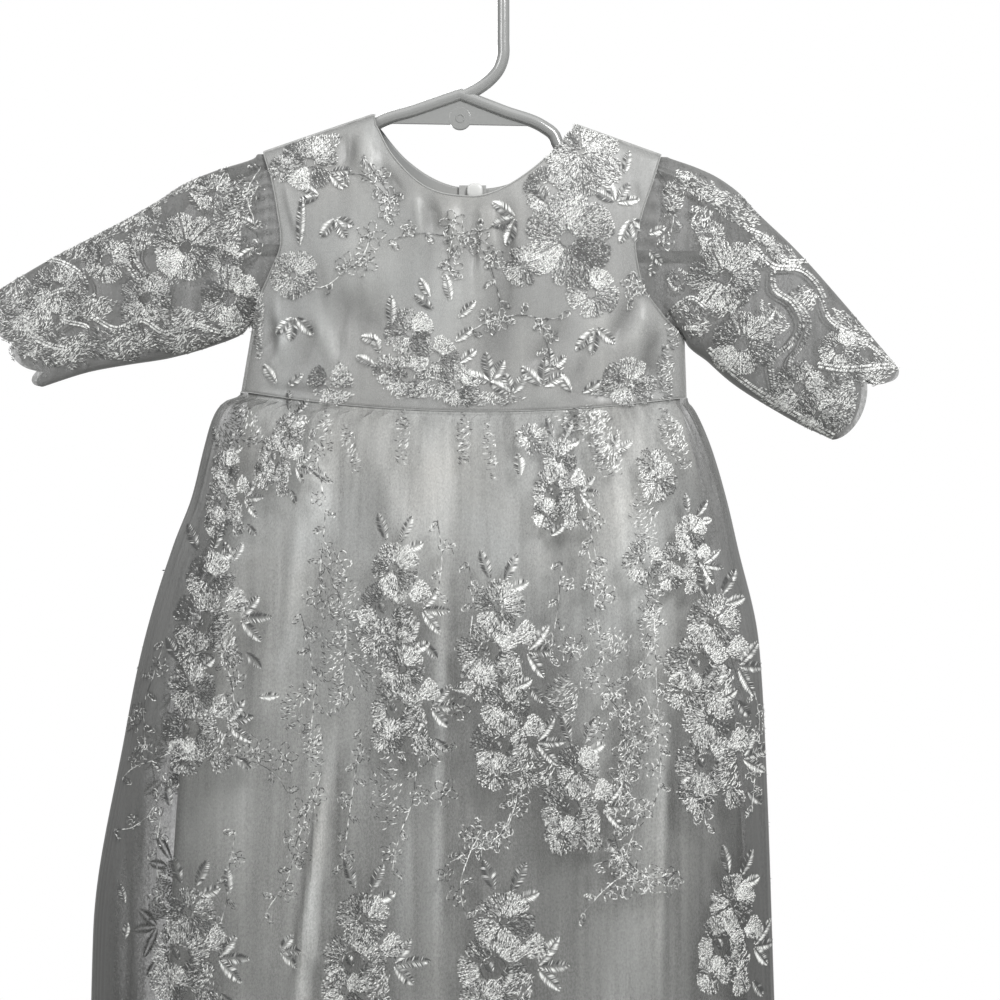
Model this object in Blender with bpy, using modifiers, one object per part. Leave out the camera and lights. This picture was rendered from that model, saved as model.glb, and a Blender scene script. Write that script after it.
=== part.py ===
"""A baby's christening gown of embroidered net over satin, hanging on a moulded child's hanger.

Lengths are millimetres. +Z is up, the front of the gown faces -Y, left and right are as seen from
the front, and the origin is the point inside the top of the hook where a rail carries it. Every
cloth panel is a loft through sections worked out from the tables, thickened by Solidify.
"""

import math

import bmesh
import bpy
from mathutils import Matrix, Vector

MM = 0.001

# Cloth
SATIN = 1.2
NET = 1.0
SEAM_GAP = 0.3
NET_STANDS_OFF = SATIN + SEAM_GAP

# Bodice, on its inner face: plan points as x, z
SHOULDER_TIP = {"left": (-110.0, -127.8), "right": (107.0, -129.4)}
NECK_POINT = {"left": (-50.5, -107.4), "right": (61.0, -113.0)}
UNDERARM = {"left": (-115.2, -222.5), "right": (119.0, -228.5)}
WAIST_END = {"left": -121.2, "right": 120.1}
SIDE_SPREAD = 0.12
# how far the neckline drops, and how round it is on the left and on the right
FRONT_NECK = (39.5, 3.2, 1.8)
BACK_NECK = (34.0, 2.35, 2.3)
CHEST_DEPTH = 17.0
WAIST_DEPTH = 19.0
SHOULDER_ROUNDING = 60.0
SHOULDER_BEND = 5.0

# share of the way from shoulder tip to underarm, inward bow on the left, on the right
ARMHOLE = (
    (0.0, 0.0, 0.0),
    (0.012, 0.4, 0.5),
    (0.04, 1.4, 1.8),
    (0.15, 5.5, 6.5),
    (0.33, 9.9, 14.8),
    (0.52, 13.0, 20.7),
    (0.70, 7.6, 19.6),
    (0.86, 2.0, 11.2),
    (1.0, 0.0, 0.0),
)
NECK_STEPS = (0.0, 0.006, 0.02, 0.06, 0.14, 0.26, 0.38, 0.5)
SHOULDER_COLUMNS = 4
SIDE_ROWS = (0.5, 1.0)

# Waist seam: its height, its tilt, its bow at front and back, and how far the skirt follows it
WAIST_Z = -263.0
SEAM_ENDS = 3.4
SEAM_TILT = 1.65
FRONT_SEAM_BOW = 9.8
BACK_SEAM_BOW = 4.0
SEAM_FADE = 130.0

# drop below the waist, left edge, right edge, half depth, gather height, fold height
NET_SKIRT = (
    (0.0, -122.8, 121.7, 20.5, 0.2, 0.0),
    (1.8, -122.8, 121.7, 20.5, 0.5, 0.0),
    (6.0, -132.6, 124.9, 22.3, 1.9, 0.0),
    (14.0, -138.0, 129.2, 24.7, 2.8, 0.3),
    (28.0, -142.4, 134.9, 28.0, 3.0, 1.2),
    (55.0, -149.5, 142.9, 33.0, 2.4, 3.0),
    (80.0, -159.6, 149.0, 36.3, 1.7, 4.0),
    (132.0, -175.7, 160.6, 40.8, 0.7, 5.6),
    (180.0, -185.4, 163.9, 44.0, 0.3, 6.5),
    (290.0, -203.2, 167.9, 49.0, 0.0, 8.0),
    (430.0, -206.0, 172.5, 54.0, 0.0, 9.0),
    (605.0, -210.0, 178.0, 60.0, 0.0, 10.0),
)
LINING_SKIRT = (
    (0.0, -118.2, 117.2, 18.3, 0.0, 0.0),
    (2.0, -118.2, 117.2, 18.3, 0.0, 0.0),
    (14.0, -120.5, 120.0, 19.2, 0.0, 0.2),
    (43.0, -127.0, 128.0, 23.0, 0.0, 1.2),
    (110.0, -142.9, 138.0, 29.0, 0.0, 3.0),
    (165.0, -152.2, 146.2, 32.0, 0.0, 4.0),
    (290.0, -161.0, 153.2, 37.0, 0.0, 5.0),
    (430.0, -164.5, 155.5, 41.0, 0.0, 6.0),
    (590.0, -167.0, 157.0, 45.0, 0.0, 7.0),
)
NET_GATHERS = 20
NET_FOLDS = 10
LINING_FOLDS = 7
NET_COLUMNS = 80
LINING_COLUMNS = 35

# Sleeves, on their inner face: top x, top z, foot x, foot z, half depth, share of the armhole's shape
SLEEVE = {
    "left": (
        (-119.5, -130.8, -128.0, -228.6, 14.0, 0.60),
        (-145.0, -139.7, -147.0, -235.6, 13.8, 0.20),
        (-154.0, -144.0, -154.0, -236.6, 13.4, 0.0),
        (-168.0, -153.5, -166.0, -239.4, 13.0, 0.0),
        (-196.0, -168.8, -184.5, -242.2, 11.0, 0.0),
        (-229.0, -186.2, -205.5, -246.0, 9.5, 0.0),
        (-268.6, -209.4, -235.2, -256.0, 8.0, 0.0),
    ),
    "right": (
        (120.0, -131.2, 127.0, -235.6, 14.0, 0.60),
        (141.0, -140.6, 138.0, -244.9, 13.6, 0.20),
        (149.3, -148.2, 145.0, -250.8, 13.2, 0.0),
        (159.0, -158.6, 152.5, -256.3, 12.5, 0.0),
        (181.5, -180.2, 168.5, -266.2, 11.0, 0.0),
        (209.5, -211.6, 186.0, -276.0, 9.5, 0.0),
        (240.5, -247.6, 205.8, -287.0, 8.0, 0.0),
    ),
}
SLEEVE_SEAM = 0.5
SLEEVE_STRIP = 3.0
UNDERARM_SEAM = 0.9
UNDERARM_LIFT = 1.4
# start and end of each scallop along the hem, how deep the notch after it is
SCALLOPS = {
    "left": ((0.0, 0.52, 0.5), (0.52, 0.86, 2.5), (0.86, 1.0, 0.0)),
    "right": ((0.0, 0.33, 9.0), (0.33, 1.0, 0.0)),
}
SCALLOP_ROUND = 6.0

# Hanger
ROD = 3.5
STEM_ROD = 3.4
APEX = (-2.5, -94.6)
HANGER_ROLL = math.radians(0.965)
# one arm and half the bar, from the apex: x, z
HANGER_ARM = (
    (0.0, 0.0),
    (24.0, -8.8),
    (46.0, -16.8),
    (51.5, -20.8),
    (54.5, -26.8),
    (59.5, -29.8),
    (65.5, -28.8),
    (72.0, -28.4),
    (90.0, -33.6),
    (110.0, -40.9),
    (132.0, -49.0),
    (146.0, -56.0),
    (154.0, -65.0),
    (157.2, -74.5),
    (153.5, -83.0),
    (145.0, -86.7),
    (132.0, -87.0),
    (60.0, -87.0),
)
HOOK_RADIUS = 21.0
HOOK_TURN = 200.0
STEM = (
    (-1.0, -95.4),
    (7.0, -91.3),
    (13.8, -86.2),
    (18.4, -80.6),
    (20.8, -74.0),
    (21.0, -64.0),
)
PLATE_THICKNESS = 2.4
PLATE_BOTTOM = 16.3
PLATE_HALF_WIDTH = 44.3
BOSS_RADIUS = 6.2
BOSS_DROP = 13.0
BOSS_THICKNESS = 3.6

# Zip, at the centre of the back
TAPE_WIDTH = 15.0
TAPE = 1.0
TAPE_TOP = -0.027
TAPE_END = 0.92
SLIDER = (6.0, 2.4, 8.0)
SLIDER_DROP = 8.0
EAR = (0.9, 2.6, 3.0)
EAR_SPACING = 3.6
EAR_SINK = 0.4
PIN_RADIUS = 0.5
EYE_RADIUS = 1.15
EYE_HOLE = 0.68
PULL_WIDTH = 4.6
PULL_LENGTH = 20.0
PULL_THICKNESS = 1.1


def mix(a, b, t):
    return tuple(p + (q - p) * t for p, q in zip(a, b))


def read_table(table, column, key):
    """A column of a table at a key of its first column, on a smooth curve through the rows."""
    keys = [row[0] for row in table]
    values = [row[column] for row in table]
    key = min(max(key, keys[0]), keys[-1])
    i = max(j for j in range(len(keys) - 1) if keys[j] <= key)
    steps = [
        (values[j + 1] - values[j]) / (keys[j + 1] - keys[j]) for j in range(len(keys) - 1)
    ]

    def slope(j):
        if j == 0 or j == len(steps):
            return steps[min(j, len(steps) - 1)]
        if steps[j - 1] * steps[j] <= 0:
            return 0.0
        return 2 * steps[j - 1] * steps[j] / (steps[j - 1] + steps[j])

    span = keys[i + 1] - keys[i]
    t = (key - keys[i]) / span
    rise = values[i + 1] - values[i]
    a = slope(i) * span
    b = slope(i + 1) * span
    return values[i] + t * (a + t * (3 * rise - 2 * a - b + t * (a + b - 2 * rise)))


def seam_offset(x, front):
    """How far the waist seam lies above WAIST_Z."""
    left, right = WAIST_END["left"], WAIST_END["right"]
    across = min(max((2 * x - left - right) / (right - left), -1.0), 1.0)
    bow = FRONT_SEAM_BOW if front else BACK_SEAM_BOW
    return SEAM_ENDS - SEAM_TILT * across - bow * (1 - across * across)


def side_x(side, z):
    """The side edge of the bodice's lens-shaped section at a height."""
    under = UNDERARM[side]
    if z >= under[1]:
        outward = -1 if side == "left" else 1
        return under[0] + outward * SIDE_SPREAD * (z - under[1])
    foot_z = WAIST_Z + seam_offset(WAIST_END[side], True)
    return under[0] + (WAIST_END[side] - under[0]) * (z - under[1]) / (foot_z - under[1])


def shoulder_height(x):
    """Height of the line that the shoulder seams and the two neck points make."""
    left, right = NECK_POINT["left"], NECK_POINT["right"]
    if x < left[0]:
        a, b = SHOULDER_TIP["left"], left
    elif x > right[0]:
        a, b = right, SHOULDER_TIP["right"]
    else:
        a, b = left, right
    return a[1] + (b[1] - a[1]) * (x - a[0]) / (b[0] - a[0])


def bodice_depth(x, z):
    """Half the bodice's thickness at a point of its plan: round over the hanger, full below."""
    left, right = side_x("left", z), side_x("right", z)
    across = (2 * x - left - right) / (right - left)
    down = min(max((UNDERARM["left"][1] - z) / (UNDERARM["left"][1] - WAIST_Z), 0.0), 1.0)
    half = CHEST_DEPTH + (WAIST_DEPTH - CHEST_DEPTH) * down
    full = half * math.sqrt(max(0.0, 1 - across * across))
    drop = max(shoulder_height(x) - z, 0.0)
    over = SHOULDER_BEND - min(drop, SHOULDER_BEND)
    bend = math.sqrt(SHOULDER_BEND**2 - over**2)
    fill = 1 - (1 - min(drop / SHOULDER_ROUNDING, 1.0)) ** 2
    return min(bend, full) + max(full - SHOULDER_BEND, 0.0) * fill


def armhole(side, s):
    """A point of the armhole in plan, from the shoulder tip at 0 to the underarm at 1."""
    x, z = mix(SHOULDER_TIP[side], UNDERARM[side], s)
    if side == "left":
        return x + read_table(ARMHOLE, 1, s), z
    return x - read_table(ARMHOLE, 2, s), z


def neckline(s, neck):
    """A point of the neckline in plan, from the left neck point at 0 to the right one at 1."""
    x, z = mix(NECK_POINT["left"], NECK_POINT["right"], s)
    drop, left_power, right_power = neck
    across = 2 * s - 1
    return x, z - drop * (1 - abs(across) ** (left_power if across < 0 else right_power))


def bodice_edge(side, z):
    """The panel's side edge in plan at a height: armhole, then side seam."""
    tip, under = SHOULDER_TIP[side], UNDERARM[side]
    if z < under[1]:
        return side_x(side, z)
    return armhole(side, min(max((z - tip[1]) / (under[1] - tip[1]), 0.0), 1.0))[0]


def bodice_columns(neck):
    """The columns from left to right: side, share of the way from its edge to the middle, top height."""
    middle = (NECK_POINT["left"][0] + NECK_POINT["right"][0]) / 2
    opening = [neckline(s, neck) for s in NECK_STEPS]
    opening += [neckline(1 - s, neck) for s in NECK_STEPS[-2::-1]]
    shoulder = [i / SHOULDER_COLUMNS for i in range(SHOULDER_COLUMNS)]
    tops = [mix(SHOULDER_TIP["left"], NECK_POINT["left"], s) for s in shoulder]
    tops += opening
    tops += [mix(SHOULDER_TIP["right"], NECK_POINT["right"], s) for s in shoulder[::-1]]
    columns = []
    for x, z in tops:
        side = "left" if x <= middle else "right"
        tip = SHOULDER_TIP[side][0]
        columns.append((side, (x - tip) / (middle - tip), z))
    return columns


def bodice_point(column, row, front, shift=0.0):
    """A point of the bodice's inner face; a row is its share of the armhole and of the side seam."""
    side, share, top_z = column
    along_armhole, along_side = row
    level = share / 2 if side == "left" else 1 - share / 2
    under_z = UNDERARM["left"][1] * (1 - level) + UNDERARM["right"][1] * level
    neck_middle = (NECK_POINT["left"][0] + NECK_POINT["right"][0]) / 2
    waist_middle = (WAIST_END["left"] + WAIST_END["right"]) / 2
    foot_x = WAIST_END[side] + (waist_middle - WAIST_END[side]) * share
    foot_z = WAIST_Z + seam_offset(foot_x, front)
    z = top_z + (under_z - top_z) * along_armhole + (foot_z - under_z) * along_side
    neck_z = (NECK_POINT["left"][1] + NECK_POINT["right"][1]) / 2
    down = (z - neck_z) / (WAIST_Z - neck_z)
    middle = neck_middle + (waist_middle - neck_middle) * down
    edge = bodice_edge(side, z)
    x = edge + (middle - edge) * share
    depth = SEAM_GAP / 2 + bodice_depth(x, z)
    return Vector((x + shift, -depth if front else depth, z))


def skirt_point(table, folds, u, drop, front):
    """A point of a skirt panel's inner face: u from its left edge at 0 to its right edge at 1."""
    left = read_table(table, 1, drop)
    right = read_table(table, 2, drop)
    depth = read_table(table, 3, drop)
    gather = read_table(table, 4, drop)
    fold = read_table(table, 5, drop)
    angle = math.pi * (u - 0.5)
    across = math.sin(angle)
    half_width = (right - left) / 2
    out = Vector((across * depth, math.cos(angle) * half_width)).normalized()
    turn = 2 * math.pi * u
    uneven = u + 0.010 * math.sin(3 * turn) + 0.006 * math.sin(7 * turn)
    drift = u + 0.022 * math.sin(2 * turn) + 0.010 * math.sin(5 * turn)
    if not front:
        drift = u - 0.020 * math.sin(2 * turn) + 0.012 * math.sin(3 * turn)
    small = gather * (0.5 - 0.5 * math.cos(2 * math.pi * NET_GATHERS * uneven))
    large = fold * (0.5 - 0.5 * math.cos(2 * math.pi * folds * drift))
    large *= 0.72 + 0.28 * math.sin(3 * turn + 0.8)
    swell = (small + large) * max(0.0, math.cos(angle)) ** 1.5
    base_x = (left + right) / 2 + across * half_width
    x = base_x + out.x * swell
    y = SEAM_GAP / 2 + depth * math.cos(angle) + out.y * swell
    follow = max(0.0, 1 - drop / SEAM_FADE) ** 2
    z = WAIST_Z + seam_offset(base_x, front) * follow - SEAM_GAP - drop
    return Vector((x, -y if front else y, z))


def scallop(side, s):
    """How far the sleeve's hem is drawn back at s across it, 0 at a scallop's crown."""
    notch_before = 0.0
    for start, end, notch_after in SCALLOPS[side]:
        if s <= end:
            t = (s - start) / (end - start)
            arch = math.sqrt(max(0.0, 1 - (2 * t - 1) ** 2))
            return notch_before * (1 - t) ** 2 + notch_after * t**2 + SCALLOP_ROUND * (1 - arch)
        notch_before = notch_after
    return SCALLOP_ROUND


def sleeve_rings(side):
    """The sleeve's inner face from the armhole seam to its scalloped hem, as rings of points."""
    steps = [row[0] for row in ARMHOLE]
    around = [(s, True) for s in steps] + [(s, False) for s in steps[-2:0:-1]]
    outward = -1 if side == "left" else 1
    own = []
    for s, front in around:
        x, z = armhole(side, s)
        depth = bodice_depth(x, z) if 0 < s < 1 else 0.0
        x += outward * (SLEEVE_SEAM + UNDERARM_SEAM * s**6)
        own.append(Vector((x, -depth if front else depth, z + UNDERARM_LIFT * s**8)))
    rings = [own, [point + Vector((outward * SLEEVE_STRIP, 0, 0)) for point in own]]
    for top_x, top_z, foot_x, foot_z, half, share in SLEEVE[side]:
        ring = []
        for (s, front), start in zip(around, own):
            x, z = mix((top_x, top_z), (foot_x, foot_z), s)
            y = half * max(0.0, 1 - abs(1 - 2 * s) ** 2.4) ** 0.5
            ring.append(start.lerp(Vector((x, -y if front else y, z)), 1 - share))
        rings.append(ring)
    last, before = SLEEVE[side][-1], SLEEVE[side][-2]
    run = Vector((last[0] + last[2] - before[0] - before[2], 0, last[1] + last[3] - before[1] - before[3]))
    run.normalize()
    for point, (s, _) in zip(rings[-1], around):
        point -= run * scallop(side, s)
    return rings


def make_material(name, colour, roughness, metallic=0.0):
    material = bpy.data.materials.new(name)
    material.use_nodes = True
    shader = material.node_tree.nodes["Principled BSDF"]
    shader.inputs["Base Color"].default_value = (*colour, 1.0)
    shader.inputs["Roughness"].default_value = roughness
    shader.inputs["Metallic"].default_value = metallic
    material.diffuse_color = (*colour, 1.0)
    return material


def loft(name, sections, material, collection, closed=False):
    """An open sheet through sections of points; closed joins each section's last point to its first."""
    bm = bmesh.new()
    rows = [[bm.verts.new(point * MM) for point in section] for section in sections]
    count = len(rows[0])
    for upper, lower in zip(rows, rows[1:]):
        for i in range(count if closed else count - 1):
            j = (i + 1) % count
            bm.faces.new((upper[i], lower[i], lower[j], upper[j]))
    mesh = bpy.data.meshes.new(name)
    bm.to_mesh(mesh)
    bm.free()
    mesh.shade_smooth()
    mesh.materials.append(material)
    sheet = bpy.data.objects.new(name, mesh)
    collection.objects.link(sheet)
    return sheet


def thicken(sheet, thickness, outwards=True):
    solidify = sheet.modifiers.new("Thickness", "SOLIDIFY")
    solidify.thickness = thickness * MM
    solidify.offset = 1.0 if outwards else -1.0


def moved_out(sheet, name, distance, material, collection):
    """A copy of a sheet with each point moved out along its normal."""
    mesh = sheet.data.copy()
    mesh.name = name
    normals = [vertex.normal.copy() for vertex in sheet.data.vertices]
    for vertex, normal in zip(mesh.vertices, normals):
        vertex.co += normal * (distance * MM)
    mesh.materials[0] = material
    copy = bpy.data.objects.new(name, mesh)
    collection.objects.link(copy)
    return copy


def make_bodice(materials, collection):
    """Front, and two back halves that meet at the zip, each of satin under embroidered net."""
    half_gap = SEAM_GAP / 2
    front = bodice_columns(FRONT_NECK)
    back = bodice_columns(BACK_NECK)
    middle = len(back) // 2
    rows = [(row[0], 0.0) for row in ARMHOLE] + [(1.0, share) for share in SIDE_ROWS]
    panels = (
        ("bodice_front", front, True, 0.0),
        ("bodice_back_left", back[middle::-1], False, -half_gap),
        ("bodice_back_right", back[:middle - 1:-1], False, half_gap),
    )
    for name, columns, is_front, shift in panels:
        sections = [
            [bodice_point(column, row, is_front, shift) for column in columns] for row in rows
        ]
        satin = loft(name, sections, materials["satin"], collection)
        net = moved_out(satin, name + "_net", NET_STANDS_OFF, materials["net"], collection)
        thicken(satin, SATIN)
        thicken(net, NET)


def skirt_panel(name, table, folds, columns, front, material, collection):
    steps = [i / columns for i in range(columns + 1)]
    if not front:
        steps = steps[::-1]
    sections = [[skirt_point(table, folds, u, row[0], front) for u in steps] for row in table]
    return loft(name, sections, material, collection)


def make_skirt(materials, collection):
    """The gathered net skirt, and the plainer satin lining that hangs inside it."""
    layers = (
        ("net", NET_SKIRT, NET_FOLDS, NET_COLUMNS, NET, materials["net"]),
        ("lining", LINING_SKIRT, LINING_FOLDS, LINING_COLUMNS, SATIN, materials["satin"]),
    )
    for side, front in (("front", True), ("back", False)):
        for layer, table, folds, columns, thickness, material in layers:
            name = f"skirt_{side}_{layer}"
            panel = skirt_panel(name, table, folds, columns, front, material, collection)
            thicken(panel, thickness)


def make_sleeves(materials, collection):
    """Sheer elbow-length sleeves with scalloped hems."""
    for side in ("left", "right"):
        rings = sleeve_rings(side)
        if side == "right":
            rings = [ring[::-1] for ring in rings]
        sleeve = loft(f"sleeve_{side}", rings, materials["net"], collection, closed=True)
        thicken(sleeve, NET)


def evaluated_mesh(source):
    bpy.context.view_layer.update()
    evaluated = source.evaluated_get(bpy.context.evaluated_depsgraph_get())
    return bpy.data.meshes.new_from_object(evaluated)


def rod(name, points, radius, collection, cyclic=False):
    """A round rod along points in the hanger's own plane."""
    curve = bpy.data.curves.new(name, "CURVE")
    curve.dimensions = "3D"
    curve.bevel_depth = radius * MM
    curve.bevel_resolution = 2
    curve.use_fill_caps = not cyclic
    spline = curve.splines.new("POLY")
    spline.points.add(len(points) - 1)
    for spot, (x, z) in zip(spline.points, points):
        spot.co = (x * MM, 0, z * MM, 1)
    spline.use_cyclic_u = cyclic
    source = bpy.data.objects.new(name + "_curve", curve)
    collection.objects.link(source)
    mesh = evaluated_mesh(source)
    bpy.data.objects.remove(source)
    bm = bmesh.new()
    bm.from_mesh(mesh)
    bmesh.ops.remove_doubles(bm, verts=bm.verts, dist=0.00001)
    bmesh.ops.recalc_face_normals(bm, faces=bm.faces)
    bm.to_mesh(mesh)
    bm.free()
    made = bpy.data.objects.new(name, mesh)
    collection.objects.link(made)
    return made


def rounded(points, per_span):
    """A smooth open curve through points, with per_span points for each span."""
    out = []
    for i in range(len(points) - 1):
        a = points[max(i - 1, 0)]
        b, c = points[i], points[i + 1]
        d = points[min(i + 2, len(points) - 1)]
        for k in range(per_span):
            t = k / per_span
            out.append(
                tuple(
                    q + 0.5 * t * (r - p + t * (2 * p - 5 * q + 4 * r - s + t * (3 * (q - r) + s - p)))
                    for p, q, r, s in zip(a, b, c, d)
                )
            )
    return out + [points[-1]]


def rolled(x, z):
    """A point of the hanger's frame, turned with the hanger about its apex."""
    c, s = math.cos(HANGER_ROLL), math.sin(HANGER_ROLL)
    return APEX[0] + x * c + z * s, APEX[1] - x * s + z * c


def combine(base, other, operation):
    """Joins other to base, or cuts it out of base, and removes other."""
    step = base.modifiers.new("Combine", "BOOLEAN")
    step.operation = operation
    step.object = other
    mesh = evaluated_mesh(base)
    base.modifiers.clear()
    base.data = mesh
    bpy.data.objects.remove(other)


def extruded(name, outline, thickness, collection):
    """A flat outline in the XZ plane, given its thickness along Y."""
    bm = bmesh.new()
    face = bm.faces.new([bm.verts.new(Vector((x, -thickness / 2, z)) * MM) for x, z in outline])
    raised = bmesh.ops.extrude_face_region(bm, geom=[face])
    moved = [part for part in raised["geom"] if isinstance(part, bmesh.types.BMVert)]
    bmesh.ops.translate(bm, vec=(0, thickness * MM, 0), verts=moved)
    bmesh.ops.recalc_face_normals(bm, faces=bm.faces)
    return placed(name, bm, (0, 0, 0), collection)


def box(name, size, at, collection):
    bm = bmesh.new()
    bmesh.ops.create_cube(bm, size=1.0)
    bmesh.ops.scale(bm, vec=Vector(size) * MM, verts=bm.verts)
    return placed(name, bm, at, collection)


def cylinder(name, radius, length, at, axis, sides, collection):
    turn = Matrix.Rotation(math.pi / 2, 4, "Y" if axis == "X" else "X")
    bm = bmesh.new()
    bmesh.ops.create_cone(
        bm,
        cap_ends=True,
        segments=sides,
        radius1=radius * MM,
        radius2=radius * MM,
        depth=length * MM,
        matrix=turn,
    )
    return placed(name, bm, at, collection)


def placed(name, bm, at, collection):
    mesh = bpy.data.meshes.new(name)
    bm.to_mesh(mesh)
    bm.free()
    made = bpy.data.objects.new(name, mesh)
    made.location = Vector(at) * MM
    collection.objects.link(made)
    return made


def set_material(made, material):
    made.data.materials.clear()
    made.data.materials.append(material)


def make_hanger(materials, collection):
    """A moulded hanger: a closed loop of rod, a gusset with a boss at its apex, and a hook."""
    half = rounded(HANGER_ARM, 2)
    loop = half + [(-x, z) for x, z in half[:0:-1]]
    hanger = rod("hanger", [rolled(x, z) for x, z in loop], ROD, collection, cyclic=True)

    turn = math.radians(HOOK_TURN)
    centre = ROD - HOOK_RADIUS
    curl = [
        (HOOK_RADIUS * math.cos(turn * i / 18), centre + HOOK_RADIUS * math.sin(turn * i / 18))
        for i in range(19)
    ]
    combine(hanger, rod("stem", rounded(STEM, 2) + curl, STEM_ROD, collection), "UNION")

    run = PLATE_HALF_WIDTH
    plate = [rolled(*corner) for corner in ((0.0, -0.4), (run, -PLATE_BOTTOM), (-run, -PLATE_BOTTOM))]
    combine(hanger, extruded("gusset", plate, PLATE_THICKNESS, collection), "UNION")
    boss_x, boss_z = rolled(0.0, -BOSS_DROP)
    boss = cylinder("boss", BOSS_RADIUS, BOSS_THICKNESS, (boss_x, 0, boss_z), "Y", 20, collection)
    combine(hanger, boss, "UNION")
    set_material(hanger, materials["hanger"])
    hanger.data.shade_smooth()
    hanger.data.set_sharp_from_angle(angle=math.radians(40))


def make_zip(materials, collection):
    """A closed zip at the centre back: tapes inside, and a slider with a pull that swings on a pin."""
    columns = bodice_columns(BACK_NECK)
    middle = columns[len(columns) // 2]
    rows = [(TAPE_TOP, 0.0)] + [(row[0], 0.0) for row in ARMHOLE]
    rows += [(1.0, share) for share in SIDE_ROWS[:-1]] + [(1.0, TAPE_END)]
    sections = []
    for row in rows:
        centre = bodice_point(middle, row, False)
        offsets = (TAPE_WIDTH / 2 * side for side in (1, 0.5, 0, -0.5, -1))
        sections.append([centre + Vector((x, -SEAM_GAP, 0)) for x in offsets])
    tape = loft("zip_tape", sections, materials["satin"], collection)
    thicken(tape, TAPE, outwards=False)

    top = bodice_point(middle, (0.0, 0.0), False)
    seat_z = top.z - SLIDER_DROP
    lowest = bodice_depth(top.x, seat_z - SLIDER[2] / 2)
    seat_y = SEAM_GAP / 2 + lowest + NET_STANDS_OFF + NET + SEAM_GAP
    slider = box("zip_slider", SLIDER, (top.x, seat_y + SLIDER[1] / 2, seat_z), collection)
    pin = Vector((top.x, seat_y + SLIDER[1] + EAR[1] / 2, seat_z + SLIDER[2] / 2 - EAR[2] / 2))
    for side in (-1, 1):
        size = (EAR[0], EAR[1] + EAR_SINK, EAR[2])
        spot = (top.x + side * EAR_SPACING / 2, pin.y - EAR_SINK / 2, pin.z)
        combine(slider, box("ear", size, spot, collection), "UNION")
    combine(slider, cylinder("pin", PIN_RADIUS, EAR_SPACING, pin, "X", 12, collection), "UNION")
    set_material(slider, materials["zip"])

    half = PULL_WIDTH / 2
    neck = (EAR_SPACING - EAR[0]) / 2 - SEAM_GAP
    shoulder, waist = -4.4, -2.6
    tip = half - PULL_LENGTH
    outline = [(neck, 0.0), (neck, waist), (half, shoulder), (half, tip)]
    outline += [
        (half * math.cos(math.pi * i / 8), tip - half * math.sin(math.pi * i / 8)) for i in range(1, 8)
    ]
    outline += [(-half, tip), (-half, shoulder), (-neck, waist), (-neck, 0.0)]
    pull = extruded("zip_pull", outline, PULL_THICKNESS, collection)
    origin = (0, 0, 0)
    combine(pull, cylinder("eye", EYE_RADIUS, 2 * neck, origin, "X", 16, collection), "UNION")
    combine(pull, cylinder("bore", EYE_HOLE, 4 * neck, origin, "X", 16, collection), "DIFFERENCE")
    pull.location = pin * MM
    set_material(pull, materials["zip"])
    print("zip pull pin:", [round(value, 4) for value in pin])


def main():
    for old in list(bpy.data.objects):
        bpy.data.objects.remove(old)
    collection = bpy.data.collections.new("christening_gown")
    bpy.context.scene.collection.children.link(collection)
    materials = {
        "satin": make_material("satin", (0.60, 0.60, 0.58), 0.38),
        "net": make_material("net", (0.50, 0.50, 0.49), 0.70),
        "hanger": make_material("hanger", (0.55, 0.56, 0.56), 0.30),
        "zip": make_material("zip", (0.62, 0.62, 0.60), 0.35),
    }
    make_bodice(materials, collection)
    make_skirt(materials, collection)
    make_sleeves(materials, collection)
    make_hanger(materials, collection)
    make_zip(materials, collection)


main()
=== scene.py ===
import math

import bpy
import numpy as np
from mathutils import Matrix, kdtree


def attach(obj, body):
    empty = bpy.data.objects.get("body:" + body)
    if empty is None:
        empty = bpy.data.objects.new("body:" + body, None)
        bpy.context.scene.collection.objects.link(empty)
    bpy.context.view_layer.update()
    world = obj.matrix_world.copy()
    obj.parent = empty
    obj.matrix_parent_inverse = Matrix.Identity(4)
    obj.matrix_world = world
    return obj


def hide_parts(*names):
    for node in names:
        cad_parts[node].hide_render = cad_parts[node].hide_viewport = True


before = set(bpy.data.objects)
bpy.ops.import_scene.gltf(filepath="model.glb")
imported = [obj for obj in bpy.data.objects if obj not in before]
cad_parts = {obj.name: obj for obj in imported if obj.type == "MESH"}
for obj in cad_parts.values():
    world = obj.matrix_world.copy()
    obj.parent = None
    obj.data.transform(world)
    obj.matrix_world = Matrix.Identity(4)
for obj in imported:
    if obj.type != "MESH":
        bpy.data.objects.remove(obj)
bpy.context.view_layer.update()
scene = bpy.context.scene
mm = 0.001
rng = np.random.default_rng(7)

# the photograph's view: level, straight at the front of the gown
view = {"lens": 70.0, "sensor": 36.0, "x": 0.01925, "z": -0.31735, "away": 1.0694}
cameraData = bpy.data.cameras.new("camera")
cameraData.lens = view["lens"]
cameraData.sensor_width = view["sensor"]
cameraData.clip_start = 0.01
camera = bpy.data.objects.new("camera", cameraData)
camera.location = (view["x"], -view["away"], view["z"])
camera.rotation_euler = (math.radians(90), 0, 0)
scene.collection.objects.link(camera)
scene.camera = camera

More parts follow.
